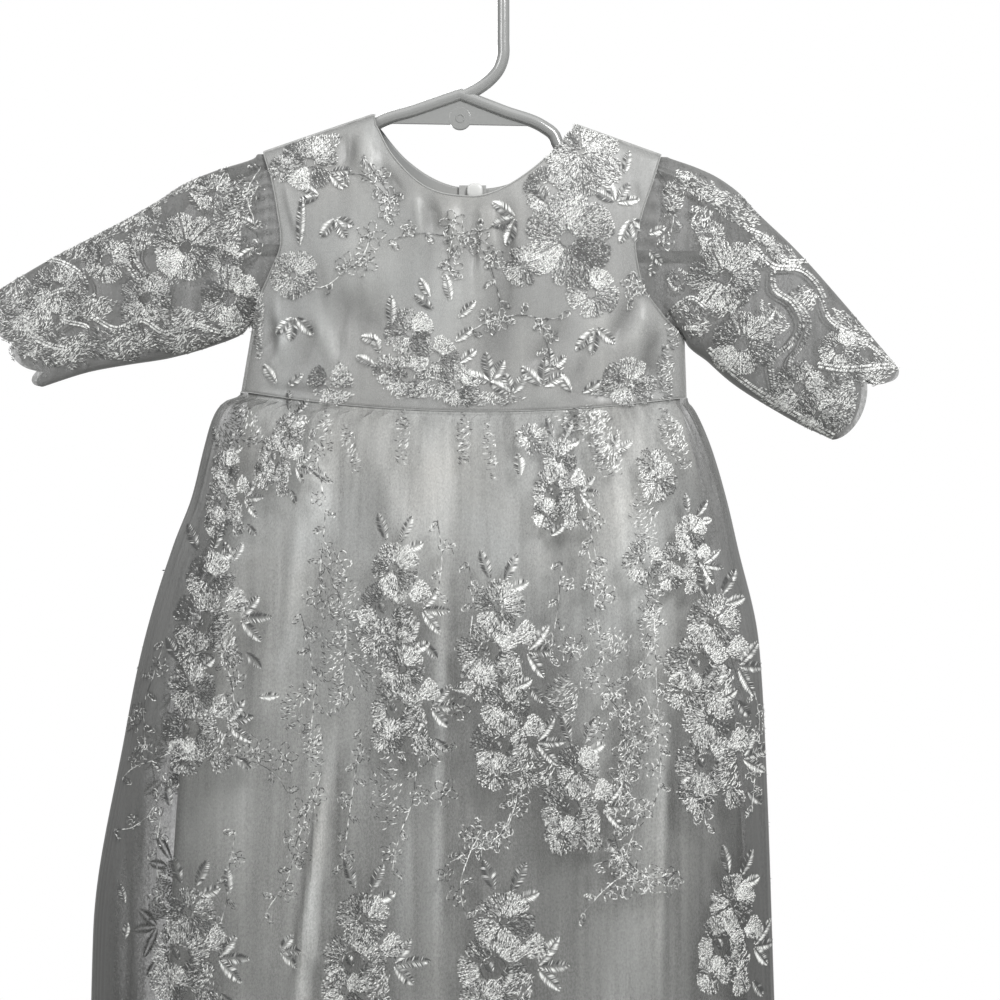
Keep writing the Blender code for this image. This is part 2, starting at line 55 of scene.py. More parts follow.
light = {
    "key": {"at": (0.54, -0.85, 0.42), "size": 0.4, "power": 16.6},
    "fill": {"at": (-0.8, -1.0, 0.35), "size": 0.6, "power": 7.6},
    "top": {"at": (-0.05, -0.40, 0.70), "size": 1.0, "power": 4.0},
    "rear": {"at": (-0.45, 1.1, 0.30), "size": 0.9, "power": 9.0},
    "around": 0.32,
    "behind": 1.0,
}
for lampName in ("key", "fill", "top", "rear"):
    lampData = bpy.data.lights.new(lampName, "AREA")
    lampData.size = light[lampName]["size"]
    lampData.energy = light[lampName]["power"]
    lamp = bpy.data.objects.new(lampName, lampData)
    lamp.location = light[lampName]["at"]
    toward = np.array([0.0, 0.0, -0.3]) - np.array(light[lampName]["at"])
    flat = math.hypot(toward[0], toward[1])
    lamp.rotation_euler = (math.atan2(flat, -toward[2]), 0, math.atan2(-toward[0], toward[1]))
    scene.collection.objects.link(lamp)
scene.view_settings.view_transform = "Standard"
scene.view_settings.look = "None"


class Term:
    def __init__(self, shading, socket):
        self.shading = shading
        self.socket = socket

    def work(self, operation, *values):
        return self.shading.node("ShaderNodeMath", {"operation": operation}, dict(enumerate(values)))

    def __add__(self, other):
        return self.work("ADD", self, other)

    def __radd__(self, other):
        return self.work("ADD", other, self)

    def __sub__(self, other):
        return self.work("SUBTRACT", self, other)

    def __rsub__(self, other):
        return self.work("SUBTRACT", other, self)

    def __mul__(self, other):
        return self.work("MULTIPLY", self, other)

    def __rmul__(self, other):
        return self.work("MULTIPLY", other, self)

    def __truediv__(self, other):
        return self.work("DIVIDE", self, other)

    def __pow__(self, other):
        return self.work("POWER", self, other)

    def clamped(self, low, high):
        return self.work("MINIMUM", self.work("MAXIMUM", self, low), high)


class Shading:
    def __init__(self, name, fixed=None):
        self.material = bpy.data.materials.new(name)
        self.material.use_nodes = True
        self.tree = self.material.node_tree
        self.shader = self.tree.nodes["Principled BSDF"]
        for key, value in (fixed or {}).items():
            self.shader.inputs[key].default_value = value

    def put(self, target, value):
        if isinstance(value, Term):
            self.tree.links.new(value.socket, target)
        else:
            target.default_value = value

    def node(self, kind, settings=None, inputs=None, output=0):
        made = self.tree.nodes.new(kind)
        for key, value in (settings or {}).items():
            setattr(made, key, value)
        for key, value in (inputs or {}).items():
            self.put(made.inputs[key], value)
        return Term(self, made.outputs[output])

    def place(self):
        return self.node("ShaderNodeTexCoord", output="Object")

    def noise(self, scale, detail=2.0, stretch=(1.0, 1.0, 1.0)):
        spot = self.node(
            "ShaderNodeVectorMath", {"operation": "MULTIPLY"}, {0: self.place(), 1: stretch}
        )
        return self.node(
            "ShaderNodeTexNoise", {}, {"Vector": spot, "Scale": scale, "Detail": detail}
        )

    def blend(self, share, first, second):
        return self.node(
            "ShaderNodeMix", {"data_type": "RGBA"}, {0: share, 6: first, 7: second}, output=2
        )

    def attribute(self, name):
        return self.node("ShaderNodeAttribute", {"attribute_name": name}, output="Fac")

    def bump(self, height, distance, strength=1.0):
        return self.node(
            "ShaderNodeBump", {}, {"Height": height, "Distance": distance, "Strength": strength}
        )

    def feed(self, key, value):
        self.put(self.shader.inputs[key], value)


def grey(value, warmth=0.0):
    return (value * (0.992 + warmth), value, value * (0.976 - warmth), 1.0)


# world: white behind the gown, softer where it lights it
world = bpy.data.worlds.new("world")
world.use_nodes = True
scene.world = world
worldNodes = world.node_tree.nodes
path = worldNodes.new("ShaderNodeLightPath")
strength = worldNodes.new("ShaderNodeMix")
strength.data_type = "FLOAT"
strength.inputs[2].default_value = light["around"]
strength.inputs[3].default_value = light["behind"]
world.node_tree.links.new(path.outputs["Is Camera Ray"], strength.inputs[0])
world.node_tree.links.new(strength.outputs[0], worldNodes["Background"].inputs["Strength"])
worldNodes["Background"].inputs["Color"].default_value = (1.0, 1.0, 1.0, 1.0)

floorSpec = {"size": 2.0, "below": 0.02, "tone": 0.86}
floorMesh = bpy.data.meshes.new("floor")
reach = floorSpec["size"] / 2
level = -0.8688 - floorSpec["below"]
floorMesh.from_pydata(
    [(-reach, -reach, level), (reach, -reach, level), (reach, reach, level), (-reach, reach, level)],
    [],
    [(0, 1, 2, 3)],
)
floor = bpy.data.objects.new("floor", floorMesh)
scene.collection.objects.link(floor)
floorShade = Shading("floor", {"Roughness": 0.8})
floorShade.feed("Base Color", grey(floorSpec["tone"]))
floorMesh.materials.append(floorShade.material)
print("stage ready")

# fold is the share of the satin's tone left in the troughs of creases: painted shade
satin = {"bodice": 0.385, "lining": 0.88, "warmth": 0.02, "fold": 0.54, "roughness": 0.32, "weave": 0.00006}


def satinMaterial(name, tone):
    shade = Shading(name, {"Sheen Weight": 0.15, "Sheen Roughness": 0.4, "IOR": 1.5})
    cloudy = (2.2 * shade.noise(16.0, 3.0) - 0.6).clamped(0, 1)
    cool, warm = grey(0.93 * tone, satin["warmth"]), grey(tone, -satin["warmth"])
    # painted shade: the fold attribute darkens the satin in the troughs of its creases and leaves the ridges lit
    paintedCreaseShade = grey(satin["fold"] * tone)
    shade.feed("Base Color", shade.blend(shade.attribute("fold"), paintedCreaseShade, shade.blend(cloudy, cool, warm)))
    shade.feed("Roughness", satin["roughness"] + 0.12 * shade.noise(60.0))
    shade.feed("Normal", shade.bump(shade.noise(900.0, 2.0, (1.0, 1.0, 0.25)), satin["weave"], 0.6))
    return shade.material


bodiceSatin = satinMaterial("satin", satin["bodice"])
liningSatin = satinMaterial("satin lining", satin["lining"])

net = {
    "bodice": 0.36,
    "sheer": 0.42,
    "sleeve": 0.71,
    "grain": 0.60,
    "streaks": 0.40,
    "bands": 0.70,
    "dense": 0.42,
    # fold is the share of the net's tone left in the troughs of creases: painted shade
    "fold": 0.52,
    "roughness": 0.6,
}


def netMaterial(name, alpha, tone):
    shade = Shading(name, {"Sheen Weight": 0.25, "Sheen Roughness": 0.5, "IOR": 1.4})
    soft = shade.noise(22.0, 2.0, (1.0, 1.0, 0.35))
    threads = shade.noise(1100.0, 2.0, (1.0, 1.0, 0.6))
    bands = shade.noise(110.0, 3.0, (1.0, 0.4, 0.03))
    streaks = shade.noise(260.0, 2.0, (1.0, 0.4, 0.03))
    plain = shade.blend(soft, grey(tone, 0.012), grey(1.25 * tone, -0.012))
    # painted shade: the fold attribute darkens the net in the troughs of its creases
    shade.feed("Base Color", shade.blend(shade.attribute("fold"), grey(net["fold"] * tone), plain))
    shade.feed("Roughness", net["roughness"] + 0.1 * soft)
    dense = shade.attribute("dense")
    cover = alpha + net["grain"] * (threads - 0.5) + net["streaks"] * (streaks - 0.5) + net["bands"] * (bands - 0.5)
    shade.feed("Alpha", (cover + net["dense"] * dense).clamped(0.1, 0.97))
    shade.feed("Normal", shade.bump(threads, 0.00008, 0.5))
    return shade.material


bodiceNet = netMaterial("net over the bodice", net["bodice"], 0.30)
sheerNet = netMaterial("sheer net", net["sheer"], 0.15)
sleeveNet = netMaterial("sleeve net", net["sleeve"], 0.135)

# embroidery thread: each stitch's tone blends its colour from a painted shadow to lit white thread with a painted
# glint, standing in for the light and shade on the stitches
thread = {"paintedShadow": 0.055, "bright": 0.82, "roughness": 0.36}
threadShade = Shading("embroidery thread", {"Sheen Weight": 0.2, "IOR": 1.5})
stitchShade = threadShade.attribute("tone")
threadShade.feed(
    "Base Color", threadShade.blend(stitchShade, grey(thread["paintedShadow"], -0.01), grey(thread["bright"]))
)
threadShade.feed("Roughness", thread["roughness"] + 0.2 * (1 - stitchShade))
threadShade.feed("Normal", threadShade.bump(threadShade.noise(2500.0), 0.00005, 0.4))

plastic = {"tone": 0.225, "roughness": 0.12}
plasticShade = Shading("moulded plastic", {"Coat Weight": 0.5, "Coat Roughness": 0.06, "IOR": 1.5})
mottle = plasticShade.noise(30.0, 3.0)
plasticShade.feed(
    "Base Color", plasticShade.blend(mottle, grey(0.94 * plastic["tone"], -0.012), grey(plastic["tone"]))
)
plasticShade.feed("Roughness", plastic["roughness"] + 0.1 * mottle)
plasticShade.feed("Normal", plasticShade.bump(plasticShade.noise(200.0), 0.0001, 0.3))

zipLook = {"tone": 0.62, "tape": 0.36}
zipShade = Shading("painted zip", {"IOR": 1.5, "Coat Weight": 0.3})
worn = zipShade.noise(400.0, 3.0)
zipShade.feed("Base Color", zipShade.blend(worn, grey(0.9 * zipLook["tone"]), grey(zipLook["tone"])))
zipShade.feed("Roughness", 0.28 + 0.15 * worn)
tapeShade = Shading("zip tape", {"Sheen Weight": 0.3})
ribs = tapeShade.noise(700.0, 1.0, (0.2, 0.2, 2.5))
tapeShade.feed("Base Color", tapeShade.blend(ribs, grey(0.8 * zipLook["tape"]), grey(zipLook["tape"])))
tapeShade.feed("Roughness", 0.6 + 0.1 * ribs)
tapeShade.feed("Normal", tapeShade.bump(ribs, 0.0001, 0.5))
print("materials ready")

# the gown's measurements in millimetres, as the solids have them
shoulderTip = {"left": (-110.0, -127.8), "right": (107.0, -129.4)}
neckPoint = {"left": (-50.5, -107.4), "right": (61.0, -113.0)}
underarm = {"left": (-115.2, -222.5), "right": (119.0, -228.5)}
waistEnd = {"left": -121.2, "right": 120.1}
sideSpread = 0.12
frontNeck = (43.2, 3.2, 1.8)  # drop, then how round it is on the left and on the right
backNeck = (34.0, 2.35, 2.3)
neckMiddle = 5.25
waistMiddle = -0.55
chestDepth, waistDepth = 17.0, 19.0
shoulderRounding, shoulderBend = 60.0, 5.0
waistZ = -263.0
seam = {"ends": 3.4, "tilt": 1.65, "front": 9.8, "back": 4.0, "fade": 130.0}
halfGap = 0.15
# share of the way from shoulder tip to underarm, inward bow on the left, on the right
armholeTable = (
    (0.0, 0.0, 0.0),
    (0.012, 0.4, 0.5),
    (0.04, 1.4, 1.8),
    (0.15, 5.5, 6.5),
    (0.33, 9.9, 14.8),
    (0.52, 13.0, 20.7),
    (0.70, 7.6, 19.6),
    (0.86, 2.0, 11.2),
    (1.0, 0.0, 0.0),
)
# drop below the waist, left edge, right edge, half depth, gather height, fold height
netSkirt = (
    (0.0, -122.8, 121.7, 20.5, 0.2, 0.0),
    (1.8, -122.8, 121.7, 20.5, 0.5, 0.0),
    (6.0, -132.6, 124.9, 22.3, 1.9, 0.0),
    (14.0, -138.0, 129.2, 24.7, 2.8, 0.3),
    (28.0, -142.4, 134.9, 28.0, 3.0, 1.2),
    (55.0, -149.5, 142.9, 33.0, 2.4, 3.0),
    (80.0, -159.6, 149.0, 36.3, 1.7, 4.0),
    (132.0, -175.7, 160.6, 40.8, 0.7, 5.6),
    (180.0, -185.4, 163.9, 44.0, 0.3, 6.5),
    (290.0, -203.2, 167.9, 49.0, 0.0, 8.0),
    (430.0, -206.0, 172.5, 54.0, 0.0, 9.0),
    (605.0, -210.0, 178.0, 60.0, 0.0, 10.0),
)
liningSkirt = (
    (0.0, -118.2, 117.2, 18.3, 0.0, 0.0),
    (2.0, -118.2, 117.2, 18.3, 0.0, 0.0),
    (14.0, -120.5, 120.0, 19.2, 0.0, 0.2),
    (43.0, -127.0, 128.0, 23.0, 0.0, 1.2),
    (110.0, -142.9, 138.0, 29.0, 0.0, 3.0),
    (165.0, -152.2, 146.2, 32.0, 0.0, 4.0),
    (290.0, -161.0, 153.2, 37.0, 0.0, 5.0),
    (430.0, -164.5, 155.5, 41.0, 0.0, 6.0),
    (590.0, -167.0, 157.0, 45.0, 0.0, 7.0),
)
netGathers, netFolds, liningFolds = 20, 10, 7
# top x, top z, foot x, foot z, half depth, share of the armhole's shape
sleeveTable = {
    "left": (
        (-119.5, -130.8, -128.0, -228.6, 14.0, 0.60),
        (-145.0, -139.7, -147.0, -235.6, 13.8, 0.20),
        (-154.0, -144.0, -154.0, -236.6, 13.4, 0.0),
        (-168.0, -153.5, -166.0, -239.4, 13.0, 0.0),
        (-196.0, -168.8, -184.5, -242.2, 11.0, 0.0),
        (-229.0, -186.2, -205.5, -246.0, 9.5, 0.0),
        (-268.6, -209.4, -235.2, -256.0, 8.0, 0.0),
    ),
    "right": (
        (120.0, -131.2, 127.0, -235.6, 14.0, 0.60),
        (141.0, -140.6, 138.0, -244.9, 13.6, 0.20),
        (149.3, -148.2, 145.0, -250.8, 13.2, 0.0),
        (159.0, -158.6, 152.5, -256.3, 12.5, 0.0),
        (181.5, -180.2, 168.5, -266.2, 11.0, 0.0),
        (209.5, -211.6, 186.0, -276.0, 9.5, 0.0),
        (240.5, -247.6, 205.8, -287.0, 8.0, 0.0),
    ),
}
sleeveSeam, sleeveStrip, underarmSeam, underarmLift = 0.5, 3.0, 0.9, 1.4
# start and end of each scallop along the cuff, how deep the notch after it is
scallops = {
    "left": ((0.0, 0.52, 0.5), (0.52, 0.86, 2.5), (0.86, 1.0, 0.0)),
    "right": ((0.0, 0.33, 9.0), (0.33, 1.0, 0.0)),
}
scallopRound = 6.0


def between(first, second, share):
    return first + (second - first) * share


def alongRows(keys, values, at):
    # a smooth curve through rows of values that never overshoots them
    keys, values = np.asarray(keys, float), np.asarray(values, float)
    wide = (-1,) + (1,) * (values.ndim - 1)
    steps = np.diff(values, axis=0) / np.diff(keys).reshape(wide)
    slopes = np.concatenate((steps[:1], steps[:-1], steps[-1:])) * 1.0
    before, after = steps[:-1], steps[1:]
    same = before * after > 0
    slopes[1:-1] = np.where(same, 2 * before * after / np.where(same, before + after, 1.0), 0.0)
    at = np.clip(np.asarray(at, float), keys[0], keys[-1])
    i = np.clip(np.searchsorted(keys, at, side="right") - 1, 0, len(keys) - 2)
    span = keys[i + 1] - keys[i]
    shape = at.shape + (1,) * (values.ndim - 1)
    t, span = ((at - keys[i]) / span).reshape(shape), span.reshape(shape)
    rise = values[i + 1] - values[i]
    a, b = slopes[i] * span, slopes[i + 1] * span
    return values[i] + t * (a + t * (3 * rise - 2 * a - b + t * (a + b - 2 * rise)))


def readTable(table, column, key):
    rows = np.array(table)
    return alongRows(rows[:, 0], rows[:, column], key)


def seamOffset(x, front):
    left, right = waistEnd["left"], waistEnd["right"]
    across = np.clip((2 * x - left - right) / (right - left), -1, 1)
    bow = seam["front"] if front else seam["back"]
    return seam["ends"] - seam["tilt"] * across - bow * (1 - across**2)


def sideX(side, z):
    under = underarm[side]
    outward = -1 if side == "left" else 1
    footZ = waistZ + seamOffset(waistEnd[side], True)
    below = under[0] + (waistEnd[side] - under[0]) * (z - under[1]) / (footZ - under[1])
    return np.where(z >= under[1], under[0] + outward * sideSpread * (z - under[1]), below)


def shoulderHeight(x):
    corners = (shoulderTip["left"], neckPoint["left"], neckPoint["right"], shoulderTip["right"])
    slopeLeft = (corners[1][1] - corners[0][1]) / (corners[1][0] - corners[0][0])
    slopeRight = (corners[3][1] - corners[2][1]) / (corners[3][0] - corners[2][0])
    inner = np.interp(x, [c[0] for c in corners], [c[1] for c in corners])
    inner = np.where(x < corners[0][0], corners[0][1] + slopeLeft * (x - corners[0][0]), inner)
    return np.where(x > corners[3][0], corners[3][1] + slopeRight * (x - corners[3][0]), inner)


def bodiceDepth(x, z):
    left, right = sideX("left", z), sideX("right", z)
    across = (2 * x - left - right) / (right - left)
    down = np.clip((underarm["left"][1] - z) / (underarm["left"][1] - waistZ), 0, 1)
    full = between(chestDepth, waistDepth, down) * np.sqrt(np.maximum(0, 1 - across**2))
    drop = np.maximum(shoulderHeight(x) - z, 0)
    over = shoulderBend - np.minimum(drop, shoulderBend)
    bend = np.sqrt(shoulderBend**2 - over**2)
    fill = 1 - (1 - np.minimum(drop / shoulderRounding, 1)) ** 2
    return np.minimum(bend, full) + np.maximum(full - shoulderBend, 0) * fill


def armhole(side, s):
    x = between(shoulderTip[side][0], underarm[side][0], s)
    z = between(shoulderTip[side][1], underarm[side][1], s)
    if side == "left":
        return x + readTable(armholeTable, 1, s), z
    return x - readTable(armholeTable, 2, s), z


def bodiceEdge(side, z):
    tip, under = shoulderTip[side], underarm[side]
    s = np.clip((z - tip[1]) / (under[1] - tip[1]), 0, 1)
    return np.where(z < under[1], sideX(side, z), armhole(side, s)[0])


def topHeight(x, neck):
    left, right = neckPoint["left"], neckPoint["right"]
    s = np.clip((x - left[0]) / (right[0] - left[0]), 0, 1)
    across = 2 * s - 1
    power = np.where(across < 0, neck[1], neck[2])
    dip = neck[0] * (1 - np.abs(across) ** power)
    return shoulderHeight(x) - np.where((x > left[0]) & (x < right[0]), dip, 0)


def bodicePoints(level, row, front, shift=0.0):
    # level runs from the left edge at 0 to the right one at 1, row over the armhole to 1, the side to 2
    isLeft = level < 0.5
    share = np.where(isLeft, 2 * level, 2 - 2 * level)
    tipX = np.where(isLeft, shoulderTip["left"][0], shoulderTip["right"][0])
    topX = between(tipX, neckMiddle, share)
    topZ = topHeight(topX, frontNeck if front else backNeck)
    underZ = between(underarm["left"][1], underarm["right"][1], level)
    end = np.where(isLeft, waistEnd["left"], waistEnd["right"])
    footX = between(end, waistMiddle, share)
    footZ = waistZ + seamOffset(footX, front)
    z = between(topZ, underZ, np.minimum(row, 1)) + (footZ - underZ) * np.maximum(row - 1, 0)
    neckZ = (neckPoint["left"][1] + neckPoint["right"][1]) / 2
    middle = between(neckMiddle, waistMiddle, (z - neckZ) / (waistZ - neckZ))
    edge = np.where(isLeft, bodiceEdge("left", z), bodiceEdge("right", z))
    x = between(edge, middle, share)
    depth = halfGap + bodiceDepth(x, z)
    return np.stack((x + shift, -depth if front else depth, z), axis=-1)


def skirtPoints(table, folds, u, drop, front):
    left, right, depth, gather, fold = (readTable(table, i, drop) for i in range(1, 6))
    angle = math.pi * (u - 0.5)
    across, facing = np.sin(angle), np.cos(angle)
    halfWidth = (right - left) / 2
    outX, outY = across * depth, facing * halfWidth
    length = np.hypot(outX, outY)
    outX, outY = outX / length, outY / length
    turn = 2 * math.pi * u
    uneven = u + 0.010 * np.sin(3 * turn) + 0.006 * np.sin(7 * turn)
    if front:
        drift = u + 0.022 * np.sin(2 * turn) + 0.010 * np.sin(5 * turn)
    else:
        drift = u - 0.020 * np.sin(2 * turn) + 0.012 * np.sin(3 * turn)
    small = gather * (0.5 - 0.5 * np.cos(2 * math.pi * netGathers * uneven))
    large = fold * (0.5 - 0.5 * np.cos(2 * math.pi * folds * drift))
    large = large * (0.72 + 0.28 * np.sin(3 * turn + 0.8))
    swell = (small + large) * np.maximum(0, facing) ** 1.5
    baseX = (left + right) / 2 + across * halfWidth
    y = halfGap + depth * facing + outY * swell
    follow = np.maximum(0, 1 - drop / seam["fade"]) ** 2
    z = waistZ + seamOffset(baseX, front) * follow - 2 * halfGap - drop
    return np.stack((baseX + outX * swell, -y if front else y, z), axis=-1)


def scallop(side, s):
    drawn = np.full(s.shape, scallopRound)
    notchBefore = 0.0
    for start, end, notchAfter in scallops[side]:
        t = (s - start) / (end - start)
        arch = np.sqrt(np.maximum(0, 1 - (2 * t - 1) ** 2))
        here = notchBefore * (1 - t) ** 2 + notchAfter * t**2 + scallopRound * (1 - arch)
        drawn = np.where((t >= 0) & (t <= 1), here, drawn)
        notchBefore = notchAfter
    return drawn


def sleevePoints(side, along, s, front):
    # along is from the armhole seam at 0 to the scalloped cuff at 1
    outward = -1 if side == "left" else 1
    x, z = armhole(side, s)
    depth = np.where((s > 0) & (s < 1), bodiceDepth(x, z), 0)
    own = np.stack(
        (
            x + outward * (sleeveSeam + underarmSeam * s**6),
            -depth if front else depth,
            z + underarmLift * s**8,
        ),
        axis=-1,
    )
    rings = [own, own + np.array((outward * sleeveStrip, 0, 0))]
    for topX, topZ, footX, footZ, half, share in sleeveTable[side]:
        y = half * np.sqrt(np.maximum(0, 1 - np.abs(1 - 2 * s) ** 2.4))
        lens = np.stack((between(topX, footX, s), -y if front else y, between(topZ, footZ, s)), -1)
        rings.append(between(own, lens, 1 - share))
    last, before = np.array(sleeveTable[side][-1]), np.array(sleeveTable[side][-2])
    run = np.array((last[0] + last[2] - before[0] - before[2], 0, last[1] + last[3] - before[1] - before[3]))
    run /= np.linalg.norm(run)
    rings[-1] = rings[-1] - run * scallop(side, s)[..., None]
    keys = [0.0]
    for upper, lower in zip(rings, rings[1:]):
        keys.append(keys[-1] + np.linalg.norm((lower - upper).mean(axis=0)))
    return alongRows(np.array(keys) / keys[-1], np.array(rings), along)


def gridNormals(points, outwardY):
    across = np.gradient(points, axis=1)
    down = np.gradient(points, axis=0)
    normal = np.cross(across, down)
    normal /= np.maximum(np.linalg.norm(normal, axis=-1, keepdims=True), 1e-9)
    middle = normal[normal.shape[0] // 2, normal.shape[1] // 2]
    return normal if middle[1] * outwardY > 0 else -normal


def creased(points, creases):
    # each crease is a line with a width and a height, below nought for a trough
    height = np.zeros(points.shape[:2])
    for x0, z0, x1, z1, width, lift in creases:
        line = np.array((x1 - x0, z1 - z0))
        length = np.linalg.norm(line)
        line /= length
        dx, dz = points[..., 0] - x0, points[..., 2] - z0
        t = (dx * line[0] + dz * line[1]) / length
        away = dx * line[1] - dz * line[0] + 0.12 * width * np.sin(7 * t + x0)
        ends = np.clip(1.25 - np.abs(2 * t - 1) * 1.25, 0, 1)
        height += lift * np.exp(-((away / width) ** 2)) * ends * ends * (3 - 2 * ends)
    return height


def wavy(points, amount, lengths, seed):
    # soft unevenness, longer down the cloth than across it
    spots = np.random.default_rng(seed)
    height = np.zeros(points.shape[:2])
    for length in lengths:
        turn = spots.uniform(0, 2 * math.pi, 3)
        tilt = spots.uniform(-0.25, 0.25)
        x = points[..., 0] * (1 + 0.1 * tilt) + tilt * points[..., 2]
        bend = 0.25 * length * np.sin(points[..., 2] / (3.1 * length) + turn[0])
        gate = 0.5 + 0.5 * np.sin(points[..., 2] / (4.3 * length) + points[..., 0] / 60 + turn[1])
        height += amount * length / lengths[0] * gate * np.sin((x + bend) * 2 * math.pi / length + turn[2])
    return height


def meshOf(name, vertices, faces, material, smooth=True, extra=None):
    mesh = bpy.data.meshes.new(name)
    mesh.vertices.add(len(vertices))
    mesh.vertices.foreach_set("co", (np.asarray(vertices) * mm).astype(np.float32).ravel())
    faces = np.asarray(faces, np.int32)
    mesh.loops.add(faces.size)
    mesh.loops.foreach_set("vertex_index", faces.ravel())
    mesh.polygons.add(len(faces))
    mesh.polygons.foreach_set("loop_start", np.arange(0, faces.size, faces.shape[1], dtype=np.int32))
    mesh.polygons.foreach_set("use_smooth", np.full(len(faces), smooth))
    mesh.update(calc_edges=True)
    for key, values in (extra or {}).items():
        layer = mesh.attributes.new(key, "FLOAT", "POINT")
        layer.data.foreach_set("value", np.asarray(values, np.float32).ravel())
    mesh.materials.append(material)
    made = bpy.data.objects.new(name, mesh)
    scene.collection.objects.link(made)
    return made


def gridFaces(rows, columns, closed=False):
    index = np.arange(rows * columns).reshape(rows, columns)
    if closed:
        index = np.concatenate((index, index[:, :1]), axis=1)
    corners = (index[:-1, :-1], index[1:, :-1], index[1:, 1:], index[:-1, 1:])
    return np.stack(corners, axis=-1).reshape(-1, 4)


def clothPiece(name, points, normals, height, material, thickness=None, doubled=0.0, paintedHemShade=0.0):
    dense = np.clip(1 / np.maximum(np.abs(normals[..., 1]), 0.25) - 1, 0, 1.6)
    # the fold attribute is painted shade: darker in the troughs of creases, lighter on their ridges, and darker still
    # lower down the skirt
    extra = {"dense": np.minimum(dense + doubled, 1.6), "fold": np.clip(0.62 - paintedHemShade + height / 5.5, 0, 1)}
    faces = gridFaces(*points.shape[:2])
    a, b, c = (points.reshape(-1, 3)[faces[len(faces) // 2][i]] for i in range(3))
    if np.dot(np.cross(b - a, c - a), normals.reshape(-1, 3)[faces[len(faces) // 2][0]]) < 0:
        faces = faces[:, ::-1]
    piece = meshOf(name, points.reshape(-1, 3), faces, material, extra=extra)
    if thickness:
        solidify = piece.modifiers.new("thickness", "SOLIDIFY")
        solidify.thickness = thickness * mm
        solidify.offset = -1.0
    return piece


def tube(name, points, radius, material, sides=8, closed=False):
    points = np.asarray(points, float)
    radius = np.broadcast_to(np.asarray(radius, float), (len(points),))
    if closed:
        ahead, behind = np.roll(points, -1, axis=0), np.roll(points, 1, axis=0)
        run = ahead - behind
    else:
        run = np.gradient(points, axis=0)
    run /= np.linalg.norm(run, axis=1, keepdims=True)
    side = np.cross(run, (0.0, 1.0, 0.0))
    weak = np.linalg.norm(side, axis=1) < 0.2
    side[weak] = np.cross(run[weak], (1.0, 0.0, 0.0))
    side /= np.linalg.norm(side, axis=1, keepdims=True)
    up = np.cross(side, run)
    turn = np.arange(sides) * 2 * math.pi / sides
    ring = side[:, None] * np.cos(turn)[None, :, None] + up[:, None] * np.sin(turn)[None, :, None]
    vertices = points[:, None] + ring * radius[:, None, None]
    rows = vertices.shape[0]
    if closed:
        vertices = np.concatenate((vertices, vertices[:1]))
        rows += 1
    faces = gridFaces(rows, sides, closed=True)
    made = meshOf(name, vertices.reshape(-1, 3), faces, material)
    return made


def joined(name, parts):
    # one piece from several meshes that share a material
    bpy.context.view_layer.update()
    with bpy.context.temp_override(active_object=parts[0], selected_editable_objects=parts):
        bpy.ops.object.join()
    parts[0].name = name
    return parts[0]


def dress(piece, nodes=(), body="gown"):
    if nodes:
        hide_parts(*nodes)
    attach(piece, body)
    return piece


# bodice: creases as x, z of both ends, width, height
bodice = {
    "columns": 150,
    "rows": 88,
    "satinOut": 1.15,
    "netOut": 1.95,
    "thickness": 0.9,
    "creases": (
        (-108.4, -207.4, -101.8, -247.0, 2.6, -1.6),
        (-104.0, -201.9, -96.3, -247.0, 3.2, 1.4),
        (-80.9, -216.2, -89.7, -253.6, 3.0, -1.5),
        (-87.5, -207.4, -60.0, -258.0, 4.6, 1.6),
        (93.0, -206.3, 78.7, -236.0, 4.4, -3.0),
        (100.7, -204.1, 86.4, -244.8, 6.0, 3.2),
        (107.3, -221.1, 96.3, -260.2, 5.0, -3.2),
        (74.2, -201.9, 52.3, -258.0, 11.0, 2.6),
        (60.5, -218.4, 35.8, -254.1, 9.0, -1.8),
        (-64.4, -108.4, -63.3, -144.1, 4.4, -3.0),
        (-56.7, -107.3, -50.1, -152.4, 5.5, 3.0),
        (-45.1, -130.4, -35.8, -166.1, 6.0, -2.6),
        (-18.2, -148.0, -12.7, -179.9, 4.5, -2.4),
        (-9.9, -148.0, -6.6, -186.5, 4.5, 2.0),
        (13.2, -148.0, 18.7, -193.6, 4.5, 2.4),
        (20.9, -150.2, 24.8, -199.1, 4.5, -2.4),
        (-1.7, -179.9, -27.5, -262.4, 18.0, 2.2),
        (30.3, -186.5, 2.8, -262.4, 13.0, -2.0),
        (-77.0, -199.1, -38.5, -237.6, 9.0, -2.0),
        (-74.2, -168.9, -35.8, -207.4, 14.0, 1.8),
        (57.8, -260.7, 107.3, -258.0, 3.5, -1.4),
        (-115.5, -258.0, -63.3, -260.7, 3.5, -1.4),
        (96.3, -160.6, 108.4, -188.7, 3.5, -2.4),
        (-27.0, -145.8, -22.6, -186.5, 2.6, 1.5),
        (-9.9, -146.9, -8.2, -207.4, 1.8, -1.5),
        (7.2, -150.2, 5.0, -201.9, 2.0, -1.6),
        (9.9, -150.2, 8.2, -207.4, 2.2, 1.5),
        (25.3, -152.4, 23.7, -223.9, 2.0, -1.5),
        (-103.4, -139.2, -92.4, -181.0, 2.8, -2.2),
        (-99.6, -140.2, -89.7, -177.7, 2.6, 2.0),
        (-113.9, -247.0, -99.6, -214.0, 2.4, -1.9),
        (-109.5, -251.4, -93.0, -223.9, 2.4, 1.6),
        (89.7, -141.4, 105.1, -179.9, 2.4, -1.8),
        (33.6, -248.1, 55.6, -217.3, 2.6, -1.4),
        (-80.9, -179.9, -74.2, -223.9, 3.0, -1.3),
        (-62.2, -201.9, -69.9, -256.9, 2.8, -1.4),
        (-38.0, -113.9, -29.2, -144.7, 2.4, -1.6),
        (68.8, -223.9, 60.0, -260.2, 2.8, -1.6),
        (100.7, -245.9, 113.9, -219.5, 2.4, 1.6),
    ),
}


def rowShares(count, rows):
    # closer rows where the cloth turns over the shoulder
    first = np.linspace(0, 1, rows) ** 1.35
    return np.concatenate((first, 1 + np.linspace(0, 1, count - rows + 1)[1:]))


